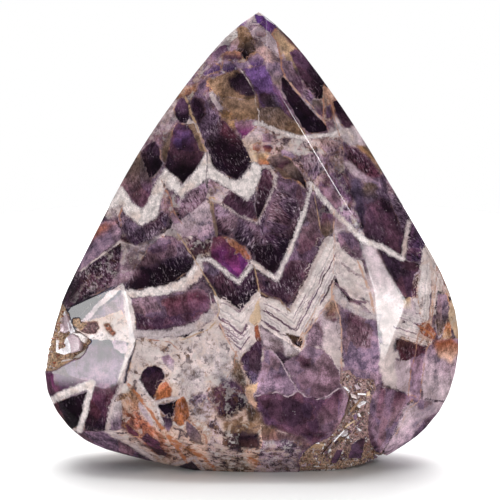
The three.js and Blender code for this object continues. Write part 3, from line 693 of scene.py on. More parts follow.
def inside_distance(place, outline):
    """Distance in pixels to a closed outline, positive inside it."""
    nearest = np.full(len(place), 1e9)
    inside = np.zeros(len(place), bool)
    for start, end in zip(outline, np.roll(outline, -1, axis=0)):
        along = end - start
        offset = place - start
        share = np.clip(offset @ along / (along @ along), 0, 1)
        gap = offset - share[:, None] * along
        nearest = np.minimum(nearest, gap[:, 0] ** 2 + gap[:, 1] ** 2)
        crosses = (start[1] > place[:, 1]) != (end[1] > place[:, 1])
        level = start[0] + offset[:, 1] * along[0] / (along[1] or 1e-9)
        inside ^= crosses & (place[:, 0] < level)
    return np.where(inside, 1, -1) * np.sqrt(nearest)


def line_distance(place, line):
    """Distance in pixels to an open line, and the same with a sign that tells its two sides apart."""
    nearest = np.full(len(place), 1e9)
    signed = np.full(len(place), 1e9)
    for start, end in zip(line[:-1], line[1:]):
        along = end - start
        offset = place - start
        share = np.clip(offset @ along / (along @ along), 0, 1)
        gap = offset - share[:, None] * along
        away = np.hypot(gap[:, 0], gap[:, 1])
        side = np.where(along[0] * offset[:, 1] - along[1] * offset[:, 0] < 0, -1, 1)
        closer = away < nearest
        nearest = np.where(closer, away, nearest)
        signed = np.where(closer, away * side, signed)
    return nearest, signed


def near(place, outline, margin):
    low, high = outline.min(axis=0) - margin, outline.max(axis=0) + margin
    return np.nonzero(np.all((place > low) & (place < high), axis=1))[0]


def linear(name):
    value = np.array(PALETTE[name]) / 255
    return np.where(value <= 0.04045, value / 12.92, ((value + 0.055) / 1.055) ** 2.4)


# The stone's form
def hollow_depth(points):
    """How deep the surface sinks at each point, mm."""
    place = photo_place(points)
    fade = smoothstep(*FRONT_ONLY, points[:, 1])
    total = np.zeros(len(points))
    for name, depth, _, text in HOLLOWS:
        outline = corners_of(text)
        chosen = near(place, outline, 2)
        chosen = chosen[fade[chosen] > 0]
        if len(chosen) == 0:
            continue
        gap = inside_distance(place[chosen], outline) * PIXEL
        if name == "seam":
            for island in ISLANDS:
                gap = np.minimum(gap, -inside_distance(place[chosen], corners_of(island)) * PIXEL)
        wall = np.clip(gap / (WALL * depth), 0, 1)
        rough = 1 + UNEVEN * rough_noise(points[chosen], 1.8, 40)
        sunk = depth * np.sqrt(1 - (1 - wall) ** 2) * rough * fade[chosen]
        sunk *= smoothstep(*SILHOUETTE, place[chosen, 0]) * 0.75 + 0.25
        sunk *= smoothstep(*FOOT, place[chosen, 1]) * 0.7 + 0.3
        total[chosen] = np.maximum(total[chosen], sunk)
    return total


def near_hollow(points):
    place = photo_place(points)
    found = np.zeros(len(points), bool)
    for *_, text in HOLLOWS:
        outline = corners_of(text)
        chosen = near(place, outline, 3)
        found[chosen] |= inside_distance(place[chosen], outline) > -2.5
    return found & (points[:, 1] < 8)


def polished_form(source):
    """The stone as ground, with no hollows: its facets as flat faces, whose edges are rounded later."""
    form = bmesh.new()
    form.from_mesh(source.data)
    bmesh.ops.remove_doubles(form, verts=form.verts, dist=1e-6)
    made = bmesh.ops.convex_hull(form, input=form.verts)
    hull = {item for item in made["geom"] if isinstance(item, bmesh.types.BMFace)}
    bmesh.ops.delete(form, geom=[face for face in form.faces if face not in hull], context="FACES_ONLY")
    loose = [edge for edge in form.edges if not edge.link_faces]
    bmesh.ops.delete(form, geom=loose, context="EDGES")
    bmesh.ops.delete(form, geom=[vert for vert in form.verts if not vert.link_faces], context="VERTS")
    bmesh.ops.recalc_face_normals(form, faces=form.faces)
    bmesh.ops.dissolve_limit(form, angle_limit=math.radians(0.6), verts=form.verts, edges=form.edges)
    bmesh.ops.remove_doubles(form, verts=form.verts, dist=SHORTEST_EDGE * MM)
    return form


def facet_planes(form):
    """Normal and distance in mm of every large facet."""
    planes = []
    for face in form.faces:
        if face.calc_area() / MM ** 2 > NAMED_FACET_AREA:
            planes.append((*face.normal, face.normal.dot(face.verts[0].co) / MM))
    return np.array(planes)


def lattice(low, high, step, rng):
    """Points of a triangular lattice over a rectangle, each moved a little."""
    rows = int((high[1] - low[1]) / (step * 0.866)) + 2
    columns = int((high[0] - low[0]) / step) + 2
    column, row = np.meshgrid(np.arange(columns), np.arange(rows))
    x = low[0] + (column + 0.5 * (row % 2)) * step
    y = low[1] + row * step * 0.866
    points = np.column_stack([x.ravel(), y.ravel()])
    return points + rng.uniform(-0.12, 0.12, points.shape) * step


def split_edges(form, points):
    """Even points along every edge, finer in front and finest at the hollows."""
    middles = np.array([(points[e.verts[0].index] + points[e.verts[1].index]) / 2 for e in form.edges])
    steps = np.where(near_hollow(middles), STEP_HOLLOW, np.where(middles[:, 1] < 2, STEP_FRONT, STEP_BACK))
    along = {}
    for edge, step in zip(form.edges, steps):
        start, end = (points[vert.index] for vert in edge.verts)
        pieces = max(1, math.ceil(np.linalg.norm(end - start) / step))
        ring = [edge.verts[0].index]
        for k in range(1, pieces):
            ring.append(len(points))
            points.append(start + (end - start) * k / pieces)
        along[edge.index] = ring + [edge.verts[1].index]
    return along


def fine_mesh(form):
    """Points and triangles, in mm, that cover the form's faces evenly."""
    rng = np.random.default_rng(5)
    points = [np.array(vert.co) / MM for vert in form.verts]
    along = split_edges(form, points)
    triangles = []
    for face in form.faces:
        border = []
        for loop in face.loops:
            ring = along[loop.edge.index]
            border += ring[:-1] if ring[0] == loop.vert.index else ring[:0:-1]
        normal = np.array(face.normal)
        across = np.cross(normal, (0.31, 0.22, 0.93))
        across /= np.linalg.norm(across)
        basis = np.array([across, np.cross(normal, across)])
        edge_points = np.array([points[k] for k in border])
        level = (edge_points @ normal).mean()
        flat = edge_points @ basis.T
        coarse = STEP_FRONT if edge_points[:, 1].mean() < 2 else STEP_BACK
        turn = np.roll(flat, -1, axis=0) - flat
        length = np.linalg.norm(turn, axis=1)
        keep = length > 1e-6
        side = np.column_stack([-turn[keep, 1], turn[keep, 0]]) / length[keep, None]
        inner = np.zeros((0, 2))
        for step in (coarse, STEP_HOLLOW):
            grid = lattice(flat.min(axis=0), flat.max(axis=0), step, rng)
            grid = grid[np.min(grid @ side.T - np.sum(side * flat[keep], axis=1), axis=1) > 0.4 * step]
            if len(grid):
                fine = near_hollow(grid @ basis + level * normal)
                inner = np.vstack([inner, grid[fine if step == STEP_HOLLOW else ~fine]])
        seeds = [Vector(p) for p in np.vstack([flat, inner])]
        edges = [(k, (k + 1) % len(border)) for k in range(len(border))]
        found = delaunay_2d_cdt(seeds, edges, [], 1, 1e-7)
        kept = {source for sources in found[3] for source in sources[:1]}
        if not all(found[3]) or not kept.issuperset(range(len(border))):
            # A border that crosses itself would leave gaps towards its neighbours
            triangles += [[border[0], border[k], border[k + 1]] for k in range(1, len(border) - 1)]
            continue
        index = []
        for place, sources in zip(found[0], found[3]):
            source = sources[0] if sources else -1
            if 0 <= source < len(border):
                index.append(border[source])
            else:
                index.append(len(points))
                points.append(np.array(place) @ basis + level * normal)
        triangles += [[index[k] for k in triangle] for triangle in found[2]]
    return np.array(points), np.array(triangles)


def neighbour_mean(points, triangles):
    pairs = np.vstack([triangles[:, [0, 1]], triangles[:, [1, 2]], triangles[:, [2, 0]]])
    total = np.zeros_like(points)
    count = np.bincount(pairs.ravel(), minlength=len(points))
    for axis in range(3):
        total[:, axis] = np.bincount(pairs[:, 0], points[pairs[:, 1], axis], minlength=len(points))
        total[:, axis] += np.bincount(pairs[:, 1], points[pairs[:, 0], axis], minlength=len(points))
    return total / np.maximum(count, 1)[:, None]


def vertex_normals(points, triangles):
    corners = points[triangles]
    normal = np.cross(corners[:, 1] - corners[:, 0], corners[:, 2] - corners[:, 0])
    total = np.zeros_like(points)
    for k in range(3):
        for axis in range(3):
            total[:, axis] += np.bincount(triangles[:, k], normal[:, axis], minlength=len(points))
    return total / np.maximum(np.linalg.norm(total, axis=1), 1e-12)[:, None]


def soften_rim(points, triangles, planes):
    """Round the rim's narrow flats into each other, and leave the large facets flat."""
    off = np.min(np.abs(points @ planes[:, :3].T - planes[:, 3]), axis=1)
    share = smoothstep(0.15, 1.2, off)[:, None] * (points[:, 2:] > 0.05)
    for _ in range(RIM_SOFTENING):
        points = points + share * 0.6 * (neighbour_mean(points, triangles) - points)
    return points


def polished_mesh():
    """The stone without its hollows, in mm."""
    form = polished_form(bpy.data.objects["stone"])
    planes = facet_planes(form)
    sharp = [edge for edge in form.edges if edge.calc_face_angle(0) > math.radians(2.0)]
    bmesh.ops.bevel(
        form, geom=sharp, offset=EDGE_ROUND * MM, offset_type="OFFSET", segments=2, profile=0.6,
        affect="EDGES", clamp_overlap=False,
    )
    form.verts.index_update()
    form.edges.index_update()
    form.normal_update()
    points, triangles = fine_mesh(form)
    form.free()
    return soften_rim(points, triangles, planes), triangles


# Painting
def backdrop_bands(points, place):
    """Zigzag banding for the parts of the stone that the photograph doesn't show."""
    zigzag = 24 * np.abs((place[:, 0] / 36) % 2 - 1)
    level = (place[:, 1] - zigzag + 7 * rough_noise(points, 7, 10)) / 58
    phase = level % 1
    dark = smoothstep(0.1, 0.75, phase) * smoothstep(1.0, 0.96, phase)
    tone = np.where(phase[:, None] < 0.14, linear("bone"), linear("mauve"))
    tone = tone * (1 - dark[:, None]) + linear("ink") * dark[:, None]
    cloud = smoothstep(0.1, 0.8, rough_noise(points, 9, 20))[:, None]
    return tone * (1 - 0.7 * cloud) + linear("haze") * 0.7 * cloud


def layer_level(place, guide, scales):
    """Depth in pixels below a bent line, measured square to each of its stretches, with a sharp corner."""
    corners = corners_of(guide)
    levels = []
    for start, end, scale in zip(corners[:-1], corners[1:], scales):
        along = (end - start) / np.linalg.norm(end - start)
        levels.append((place - start) @ np.array([-along[1], along[0]]) * scale)
    return np.max(levels, axis=0)


def floor_tints(place):
    """Colour of the ground in the hollows."""
    tint = np.tile(linear("tan"), (len(place), 1))
    for _, _, colour, text in HOLLOWS:
        outline = corners_of(text)
        chosen = near(place, outline, 4)
        chosen = chosen[inside_distance(place[chosen], outline) > -4]
        tint[chosen] = linear(colour)
    orange = smoothstep(*ORANGE_FOOT, place[:, 1])[:, None]
    return tint * (1 - 0.8 * orange) + linear("sand") * 0.8 * orange


def paint(points):
    """Colours, bands and veins of the polished surface at each point."""
    place = photo_place(points)
    count = len(points)
    inner = backdrop_bands(points, place)
    outer = inner.copy()
    edge = np.full(count, FAR)
    rim = np.zeros(count)
    lean = np.full(count, 20.0)
    streak = np.full(count, 0.6)
    mottle = np.full(count, 0.2)
    layered, level = np.zeros(count), np.zeros(count)
    seed = np.zeros(count)
    wobble = 0.9 * noise(points, 1.7, 1) + 0.5 * noise(points, 0.8, 2)
    drift = 0.12 * rough_noise(points, 4, 3)
    for number, (name, root, tip, slant, soft, fibres, text) in enumerate(PATCHES):
        outline = corners_of(text)
        chosen = near(place, outline, 2 * soft + 5)
        if len(chosen) == 0:
            continue
        here = place[chosen]
        way = np.array([math.sin(math.radians(slant)), math.cos(math.radians(slant))])
        reach = outline @ way
        share = smoothstep(0.1, 0.9, (here @ way - reach.min()) / np.ptp(reach) + drift[chosen])[:, None]
        colour = linear(root) * (1 - share) + linear(tip) * share
        gap = inside_distance(here, outline) + wobble[chosen] * (0.5 + 0.45 * soft)
        if soft > CRISP:
            cover = smoothstep(-soft, soft, gap)
            for side in (inner, outer):
                side[chosen] += cover[:, None] * (colour - side[chosen])
            rim[chosen] *= 1 - cover
            layered[chosen] *= 1 - cover
        else:
            # Both colours and the distance to the edge are kept, so the edge between them stays sharp
            cover = (gap > 0).astype(float)
            taken = (gap > 0) | ((gap > -EDGE_REACH) & (np.abs(gap) < np.abs(edge[chosen])))
            won, gap = chosen[taken], gap[taken]
            under = np.where(edge[won, None] > 0, inner[won], outer[won])
            inner[won] = np.where(gap[:, None] > -EDGE_REACH / 2, colour[taken], under)
            outer[won] = under
            edge[won] = gap
            rim[won] = (0.15 + 0.85 * (soft < 1.1)) * (np.abs(gap) < EDGE_REACH / 2)
            layered[won] = 0
            if name in LAYERED:
                strength, guide, scales = LAYERED[name]
                layered[won] = strength
                level[won] = layer_level(place[won], guide, scales)
        streak[chosen] += cover * (fibres - streak[chosen])
        mottle[chosen] += cover * (MOTTLED.get(name, 0) - mottle[chosen])
        owned = chosen[cover > 0.5]
        lean[owned] = slant
        seed[owned] = number
    band = np.full(count, -FAR)
    band_tint = np.tile(linear("milk"), (count, 1))
    fray = noise(points, 2.4, 7) + 0.7 * noise(points, 1.1, 8)
    for name, colour, width, ragged, text in BANDS:
        line = corners_of(text)
        chosen = near(place, line, width / 2 + 6)
        if len(chosen) == 0:
            continue
        gap = width / 2 - line_distance(place[chosen], line)[0] + ragged * fray[chosen]
        wider = gap > band[chosen]
        band[chosen[wider]] = gap[wider]
        band_tint[chosen[wider]] = linear(colour)
    for name, colour, text in FIELDS:
        outline = corners_of(text)
        chosen = near(place, outline, 6)
        gap = inside_distance(place[chosen], outline) + 0.7 * wobble[chosen]
        wider = gap > band[chosen]
        band[chosen[wider]] = gap[wider]
        band_tint[chosen[wider]] = linear(colour)
    vein = np.tile((99.0, 99.0, 0.0), (count, 1))
    vein_tint = np.tile(linear("rust"), (count, 1))
    for name, colour, width, text in VEINS:
        line = corners_of(text)
        chosen = near(place, line, width / 2 + 6)
        if len(chosen) == 0:
            continue
        away, signed = line_distance(place[chosen], line)
        half = width / 2 * (1 + 0.35 * noise(points[chosen], 3, 5))
        closer = away - half < vein[chosen, 1] - vein[chosen, 2]
        better = chosen[closer]
        vein[better] = np.column_stack([signed, away, half])[closer]
        vein_tint[better] = linear(colour)
    angle = np.radians(lean)
    across = (place[:, 0] * np.cos(angle) - place[:, 1] * np.sin(angle)) * PIXEL
    along = (place[:, 0] * np.sin(angle) + place[:, 1] * np.cos(angle)) * PIXEL
    grain = np.column_stack([across, along, points[:, 1] + 13 * seed])
    return {
        "tint": inner, "outer_tint": outer, "edge": np.clip(edge, -FAR, FAR), "rim": rim,
        "band_tint": band_tint, "vein_tint": vein_tint, "band": np.clip(band, -FAR, FAR),
        "vein": np.clip(vein, -FAR, FAR), "grain": grain, "streak": streak, "mottle": mottle,
        "layered": layered, "level": level, "floor_tint": floor_tints(place),
    }


def store(mesh, name, values):
    """A mesh attribute with one value, vector or colour for each point."""
    if values.ndim == 1:
        layer = mesh.attributes.new(name, "FLOAT", "POINT")
        layer.data.foreach_set("value", values.astype(np.float32))
    elif name.endswith("tint"):
        layer = mesh.attributes.new(name, "FLOAT_COLOR", "POINT")
        padded = np.column_stack([values, np.ones(len(values))])
        layer.data.foreach_set("color", padded.astype(np.float32).ravel())
    else:
        layer = mesh.attributes.new(name, "FLOAT_VECTOR", "POINT")
        layer.data.foreach_set("vector", values.astype(np.float32).ravel())


def mesh_object(name, points, triangles, smooth=True):
    mesh = bpy.data.meshes.new(name)
    mesh.from_pydata((points * MM).tolist(), [], triangles.tolist())
    mesh.polygons.foreach_set("use_smooth", [smooth] * len(mesh.polygons))
    obj = bpy.data.objects.new(name, mesh)
    bpy.context.scene.collection.objects.link(obj)
    return obj


# Materials
class Graph:
    """Short names for the nodes of one material."""

    def __init__(self, name):
        self.material = bpy.data.materials.new(name)
        self.material.use_nodes = True
        self.tree = self.material.node_tree
        self.shader = self.tree.nodes["Principled BSDF"]

    def put(self, socket, value):
        if isinstance(value, bpy.types.NodeSocket):
            self.tree.links.new(value, socket)
        else:
            socket.default_value = value

    def attribute(self, name, output="Vector"):
        node = self.tree.nodes.new("ShaderNodeAttribute")
        node.attribute_name = name
        return node.outputs[output]

    def place(self):
        return self.tree.nodes.new("ShaderNodeTexCoord").outputs["Object"]

    def math(self, operation, *values):
        node = self.tree.nodes.new("ShaderNodeMath")
        node.operation = operation
        for socket, value in zip(node.inputs, values):
            self.put(socket, value)
        return node.outputs[0]

    def scaled(self, vector, factor):
        node = self.tree.nodes.new("ShaderNodeVectorMath")
        node.operation = "MULTIPLY"
        self.put(node.inputs[0], vector)
        node.inputs[1].default_value = factor
        return node.outputs[0]

    def shifted(self, vector, wander, size):
        """The place moved by a noise colour, up to half `size` each way."""
        node = self.tree.nodes.new("ShaderNodeVectorMath")
        node.operation = "MULTIPLY_ADD"
        self.put(node.inputs[0], wander)
        node.inputs[1].default_value = (size, size, size)
        self.put(node.inputs[2], vector)
        return node.outputs[0]

    def noise(self, vector, scale, detail=2, output="Fac", roughness=0.5):
        node = self.tree.nodes.new("ShaderNodeTexNoise")
        self.put(node.inputs["Vector"], vector)
        for name, value in (("Scale", scale), ("Detail", detail), ("Roughness", roughness)):
            node.inputs[name].default_value = value
        return node.outputs[output]

    def cells(self, vector, scale, output="Distance"):
        node = self.tree.nodes.new("ShaderNodeTexVoronoi")
        self.put(node.inputs["Vector"], vector)
        node.inputs["Scale"].default_value = scale
        return node.outputs[output]

    def step(self, value, low, high, start=0.0, end=1.0):
        node = self.tree.nodes.new("ShaderNodeMapRange")
        node.interpolation_type = "SMOOTHSTEP"
        for socket, item in zip(node.inputs, (value, low, high, start, end)):
            self.put(socket, item)
        return node.outputs[0]

    def ramp(self, value, stops):
        """Colours by name at places from 0 to 1."""
        node = self.tree.nodes.new("ShaderNodeValToRGB")
        self.put(node.inputs[0], value)
        elements = node.color_ramp.elements
        elements.remove(elements[1])
        for k, (place, name) in enumerate(stops):
            element = elements.new(place) if k else elements[0]
            element.position = place
            element.color = (*linear(name), 1)
        return node.outputs[0]

    def brightness(self, colour):
        node = self.tree.nodes.new("ShaderNodeRGBToBW")
        self.put(node.inputs[0], colour)
        return node.outputs[0]

    def mix(self, share, first, second, blend="MIX"):
        node = self.tree.nodes.new("ShaderNodeMix")
        node.data_type = "RGBA"
        node.blend_type = blend
        self.put(node.inputs["Factor"], share)
        self.put(node.inputs["A"], first)
        self.put(node.inputs["B"], second)
        return node.outputs["Result"]

    def split(self, vector):
        node = self.tree.nodes.new("ShaderNodeSeparateXYZ")
        self.put(node.inputs[0], vector)
        return node.outputs


def crystal_colours(g, place, fuzz):
    """Crystals and layers with sharp, ragged edges and a pale film here and there."""
    edge = g.math("ADD", g.attribute("edge", "Fac"), fuzz)
    level = g.math("ADD", g.attribute("level", "Fac"), g.math("MULTIPLY", fuzz, 0.4))
    level = g.math("ADD", level, g.step(g.noise(place, 500, 3), 0.3, 0.7, -0.7, 0.7))
    stops = [(depth / LAYERS_DEPTH, name) for depth, name in LAYERS]
    layers = g.ramp(g.math("DIVIDE", level, LAYERS_DEPTH), stops)
    tint = g.mix(g.attribute("layered", "Fac"), g.attribute("tint", "Color"), layers)
    colour = g.mix(g.step(edge, -0.45, 0.45), g.attribute("outer_tint", "Color"), tint)
    patchy = g.step(g.noise(place, 260, 3), 0.42, 0.62, 0.0, 0.8)
    film = g.step(g.math("ABSOLUTE", edge), 0.95, 0.3)
    film = g.math("MULTIPLY", film, g.math("MULTIPLY", g.attribute("rim", "Fac"), patchy))
    warm = g.step(g.noise(place, 120, 2), 0.45, 0.6)
    return g.mix(film, colour, g.mix(warm, GREY_FILM, RUSTY_FILM))


def with_depth(g, colour, place, grain, grit):
    """Clouds in every crystal, and blocks in the dark ones, some bluer and some warmer."""
    cloud = g.noise(place, 340, 5, roughness=0.6)
    tone = g.math("MULTIPLY", g.step(cloud, 0.3, 0.7, 0.45, 1.6), g.step(grit, 0.25, 0.75, 0.72, 1.28))
    tone = g.math("MULTIPLY", tone, g.step(g.noise(place, 95, 3), 0.32, 0.68, 0.6, 1.4))
    colour = g.mix(g.step(g.brightness(colour), 0.2, 0.55, 1.0, 0.4), colour, tone, "MULTIPLY")
    blocks = g.cells(g.shifted(g.scaled(grain, (0.17, 0.075, 0.11)), grit, 0.05), 1.0, output="Color")
    shade, hue, _ = g.split(blocks)
    hue = g.mix(g.step(hue, 0.1, 0.9), BLUER, WARMER)
    hue = g.mix(1.0, hue, g.step(shade, 0.0, 1.0, 0.76, 1.24), "MULTIPLY")
    return g.mix(g.step(g.brightness(colour), 0.34, 0.12), colour, hue, "MULTIPLY")


def with_grains(g, colour, warped, mottling):
    """Broken ground: grains of white, grey, plum and brown."""
    grains = g.noise(warped, 400, 6, roughness=0.7)
    kind = g.noise(warped, 170, 2)
    dark_grain = g.mix(g.step(kind, 0.5, 0.56), PLUM_GRAIN, BROWN_GRAIN)
    pale_grain = g.mix(g.step(kind, 0.46, 0.56), GREY_GRAIN, CREAM_GRAIN)
    share = g.math("MULTIPLY", g.step(grains, 0.475, 0.42), mottling)
    colour = g.mix(g.math("MULTIPLY", share, 0.88), colour, dark_grain)
    share = g.math("MULTIPLY", g.step(grains, 0.515, 0.57), mottling)
    return g.mix(g.math("MULTIPLY", share, 0.7), colour, pale_grain)


def with_fibres(g, colour, place, streak, fibre):
    """Growth fibres: ragged dark and pale flecks with finer lines in them."""
    shade = g.math("MULTIPLY", g.step(fibre, 0.52, 0.4), g.math("MULTIPLY", streak, 0.85))
    shade = g.math("MULTIPLY", shade, g.step(g.brightness(colour), 0.42, 0.16, 0.3, 1.0))
    colour = g.mix(shade, colour, DARK_FIBRE)
    cluster = g.step(g.noise(place, 190, 3), 0.42, 0.6, 0.08, 1.25)
    glint = g.math("MULTIPLY", g.step(fibre, 0.53, 0.66), g.math("MULTIPLY", streak, cluster))
    glint = g.math("MULTIPLY", glint, g.math("MULTIPLY", streak, 0.85))
    return g.mix(glint, colour, PALE_FIBRE)


def with_cracks_and_specks(g, colour, place, warped, mottling):
    """Brown films along cracks in the broken ground, and pale specks in clusters."""
    crack = g.noise(warped, 120, 5, roughness=0.6)
    crack = g.step(g.math("ABSOLUTE", g.math("SUBTRACT", crack, 0.5)), 0.022, 0.004)
    crack = g.math("MULTIPLY", crack, g.step(g.noise(place, 60, 2), 0.45, 0.6))
    colour = g.mix(g.math("MULTIPLY", crack, g.math("MULTIPLY", mottling, 0.6)), colour, CRACK_FILM)
    speck = g.step(g.cells(place, 620), 0.13, 0.07)
    speck = g.math("MULTIPLY", speck, g.step(g.noise(place, 160, 2), 0.5, 0.6))
    return g.mix(g.math("MULTIPLY", speck, 0.5), colour, SPECK)


def with_bands(g, colour, place, grit, edge, lines):
    pale = g.mix(g.step(g.noise(place, 420, 5, roughness=0.65), 0.5, 0.68, 0.0, 0.45),
                 g.attribute("band_tint", "Color"), BAND_GREY)
    pale = g.mix(g.step(g.noise(place, 150, 4), 0.52, 0.64, 0.0, 0.35), pale, BAND_RUST)
    pale = g.mix(1.0, pale, g.step(grit, 0.25, 0.75, 0.8, 1.16), "MULTIPLY")
    pale = g.mix(1.0, pale, g.step(g.noise(place, 620, 4), 0.35, 0.6, 0.8, 1.18), "MULTIPLY")
    pale = g.mix(g.math("MULTIPLY", g.step(lines, 0.46, 0.36), 0.25), pale, BAND_LINE)
    pale = g.mix(g.step(edge, 0.2, 2.4, 0.45, 0.0), pale, BAND_EDGE)
    return g.mix(g.step(edge, -0.9, 1.1), colour, pale)


def with_veins(g, colour, place):
    signed, away, half = g.split(g.attribute("vein"))
    waver = g.math("MULTIPLY", g.math("SUBTRACT", g.noise(place, 1300, 3), 0.5), 2.4)
    offset = g.math("ABSOLUTE", g.math("ADD", signed, waver))
    line = g.step(g.math("SUBTRACT", offset, half), 0.4, -0.4)
    line = g.math("MULTIPLY", line, g.step(g.math("SUBTRACT", away, half), 2.2, 1.4))
    line = g.math("MULTIPLY", line, g.step(g.noise(place, 460, 3), 0.36, 0.56, 0.1, 0.95))
    return g.mix(line, colour, g.attribute("vein_tint", "Color"))


def with_hollows(g, colour, place, hollow):
    """Dull speckled ground with rusty walls."""
    grains = g.step(g.noise(place, 1500, 5, roughness=0.7), 0.36, 0.64, 0.25, 1.9)
    ground = g.mix(1.0, g.attribute("floor_tint", "Color"), grains, "MULTIPLY")
    speck = g.step(g.noise(place, 2100, 2), 0.62, 0.7)
    ground = g.mix(speck, ground, HOLLOW_SPECK)
    wall = g.math("MULTIPLY", g.step(hollow, 0.15, 0.5), g.step(hollow, 0.95, 0.7))
    ground = g.mix(g.math("MULTIPLY", wall, 0.45), ground, HOLLOW_WALL)
    return g.mix(g.step(hollow, 0.1, 0.4), colour, ground)


def amethyst_material():
    g = Graph("amethyst")
    place = g.place()
    grain = g.attribute("grain")
    streak = g.attribute("streak", "Fac")
    mottling = g.attribute("mottle", "Fac")
    hollow = g.attribute("hollow", "Fac")
    grit = g.noise(place, 2400, 3)
    fuzz = g.math("MULTIPLY", g.math("SUBTRACT", grit, 0.5), 2.4)
    warped = g.shifted(place, g.noise(place, 300, 2, output="Color"), 0.002)
    flecks = g.noise(g.scaled(grain, (1.5, 0.5, 0.8)), 1.0, 6, roughness=0.74)
    lines = g.noise(g.scaled(grain, (4.2, 0.8, 1.0)), 1.0, 3)
    fibre = g.math("ADD", flecks, g.math("MULTIPLY", g.math("SUBTRACT", lines, 0.5), 0.45))
    # Crystal tips reach into the bands
    spikes = g.math("MULTIPLY", g.math("SUBTRACT", fibre, 0.5), g.math("MULTIPLY", streak, 12.0))
    band_edge = g.math("ADD", g.attribute("band", "Fac"), g.math("ADD", fuzz, spikes))

    colour = crystal_colours(g, place, fuzz)
    colour = with_depth(g, colour, place, grain, grit)
    colour = with_grains(g, colour, warped, mottling)
    colour = with_fibres(g, colour, place, streak, fibre)
    colour = with_cracks_and_specks(g, colour, place, warped, mottling)
    colour = with_bands(g, colour, place, grit, band_edge, lines)
    colour = with_veins(g, colour, place)
    colour = with_hollows(g, colour, place, hollow)
    g.put(g.shader.inputs["Base Color"], colour)
    g.put(g.shader.inputs["Roughness"], g.step(hollow, 0.1, 0.9, 0.06, 0.5))
    g.put(g.shader.inputs["IOR"], QUARTZ_IOR)
    return g.material


def druse_material():
    g = Graph("druse")
    place = g.place()
    tone = g.step(g.noise(place, 2500, 2), 0.3, 0.7, 0.75, 1.2)
    g.put(g.shader.inputs["Base Color"], g.mix(1.0, g.attribute("tint", "Color"), tone, "MULTIPLY"))
    g.put(g.shader.inputs["Roughness"], g.step(g.noise(place, 1600, 2), 0.3, 0.7, 0.06, 0.3))
    g.put(g.shader.inputs["IOR"], QUARTZ_IOR)
    return g.material


# The stone
smooth_points, triangles = polished_mesh()
smooth_normals = vertex_normals(smooth_points, triangles)
depth = hollow_depth(smooth_points)
points = smooth_points - smooth_normals * depth[:, None]
print("stone", len(points), len(triangles))

stone = mesh_object("polished_stone", points, triangles)
for name, values in paint(smooth_points).items():
    store(stone.data, name, values)
store(stone.data, "hollow", smoothstep(0.03, 0.7, depth))
stone.data.materials.append(amethyst_material())
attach(stone, "root")
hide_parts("stone")

frame_place = photo_place(smooth_points)
surface_tree = KDTree(len(smooth_points))
for number, point in enumerate(smooth_points):
    surface_tree.insert(point, number)
surface_tree.balance()


# Crystals
def crystal_cloud(feet, axes, radii, lengths, rng):
    """Points and triangles of six-sided crystals with pointed ends."""
    sides = 6
    angle = np.arange(sides) * 2 * math.pi / sides
    helper = np.where(np.abs(axes[:, 2:]) > 0.8, (1.0, 0, 0), (0, 0, 1.0))
    across = np.cross(axes, helper)
    across /= np.linalg.norm(across, axis=1)[:, None]
    beside = np.cross(axes, across)
    spin = rng.uniform(0, 2 * math.pi, len(feet))
    uneven = rng.uniform(0.75, 1.2, (len(feet), sides))
    rings = []
    for height, width in ((-0.3, 1.0), (1.0, 0.94)):
        ring = []
        for k in range(sides):
            turn = angle[k] + spin
            radius = (radii * uneven[:, k] * width)[:, None]
            spot = across * np.cos(turn)[:, None] * radius + beside * np.sin(turn)[:, None] * radius
            shoulder = lengths - radii * rng.uniform(0.7, 1.1, len(feet))
            level = np.where(height > 0, shoulder, height * lengths)
            ring.append(feet + spot + axes * level[:, None])
        rings.append(np.stack(ring, axis=1))
    off = (rng.uniform(-0.35, 0.35, (len(feet), 2)) * radii[:, None])
    tip = feet + axes * lengths[:, None] + across * off[:, :1] + beside * off[:, 1:]
    points = np.concatenate([rings[0], rings[1], tip[:, None]], axis=1)
    faces = []
    for k in range(sides):
        after = (k + 1) % sides
        faces += [(k, after, sides + after), (k, sides + after, sides + k)]
        faces.append((sides + k, sides + after, 2 * sides))
    count = points.shape[1]
    triangles = np.array(faces)[None] + np.arange(len(feet))[:, None, None] * count
    return points.reshape(-1, 3), triangles.reshape(-1, 3)


def scattered(floor, count, lengths, lying, tints, rng):
    """Crystals on a hollow's floor, none of them higher than the polished surface."""
    points, normals, depth = floor
    chosen = rng.choice(len(points), count)
    axes = normals[chosen] * (1 - lying) + np.array(SEAM_WAY) * lying * rng.choice((-1, 1), (count, 1))
    axes += rng.normal(0, 0.45, (count, 3))
    axes /= np.linalg.norm(axes, axis=1)[:, None]
    rise = np.sum(axes * normals[chosen], axis=1)
    axes[rise < 0] *= -1
    length = rng.uniform(*lengths, count) * rng.uniform(0.5, 1, count)
    width = rng.uniform(0.2, 0.4, count)
    length = np.minimum(length, depth[chosen] * rng.uniform(0.7, 1.0, count) / (np.abs(rise) + 0.8 * width))
    corners, triangles = crystal_cloud(points[chosen], axes, length * width, length, rng)
    palette = np.array([linear(tint) for tint in tints])
    colours = palette[rng.integers(0, len(tints), count)] * rng.uniform(0.55, 1.25, (count, 1))
    return corners, triangles, np.repeat(colours, len(corners) // count, axis=0)


def surface_at(place, spots):
    """The nearest surface points to places in the frame."""
    front = np.nonzero(smooth_points[:, 1] < 8)[0]
    return [front[np.argmin(np.sum((place[front] - spot) ** 2, axis=1))] for spot in spots]


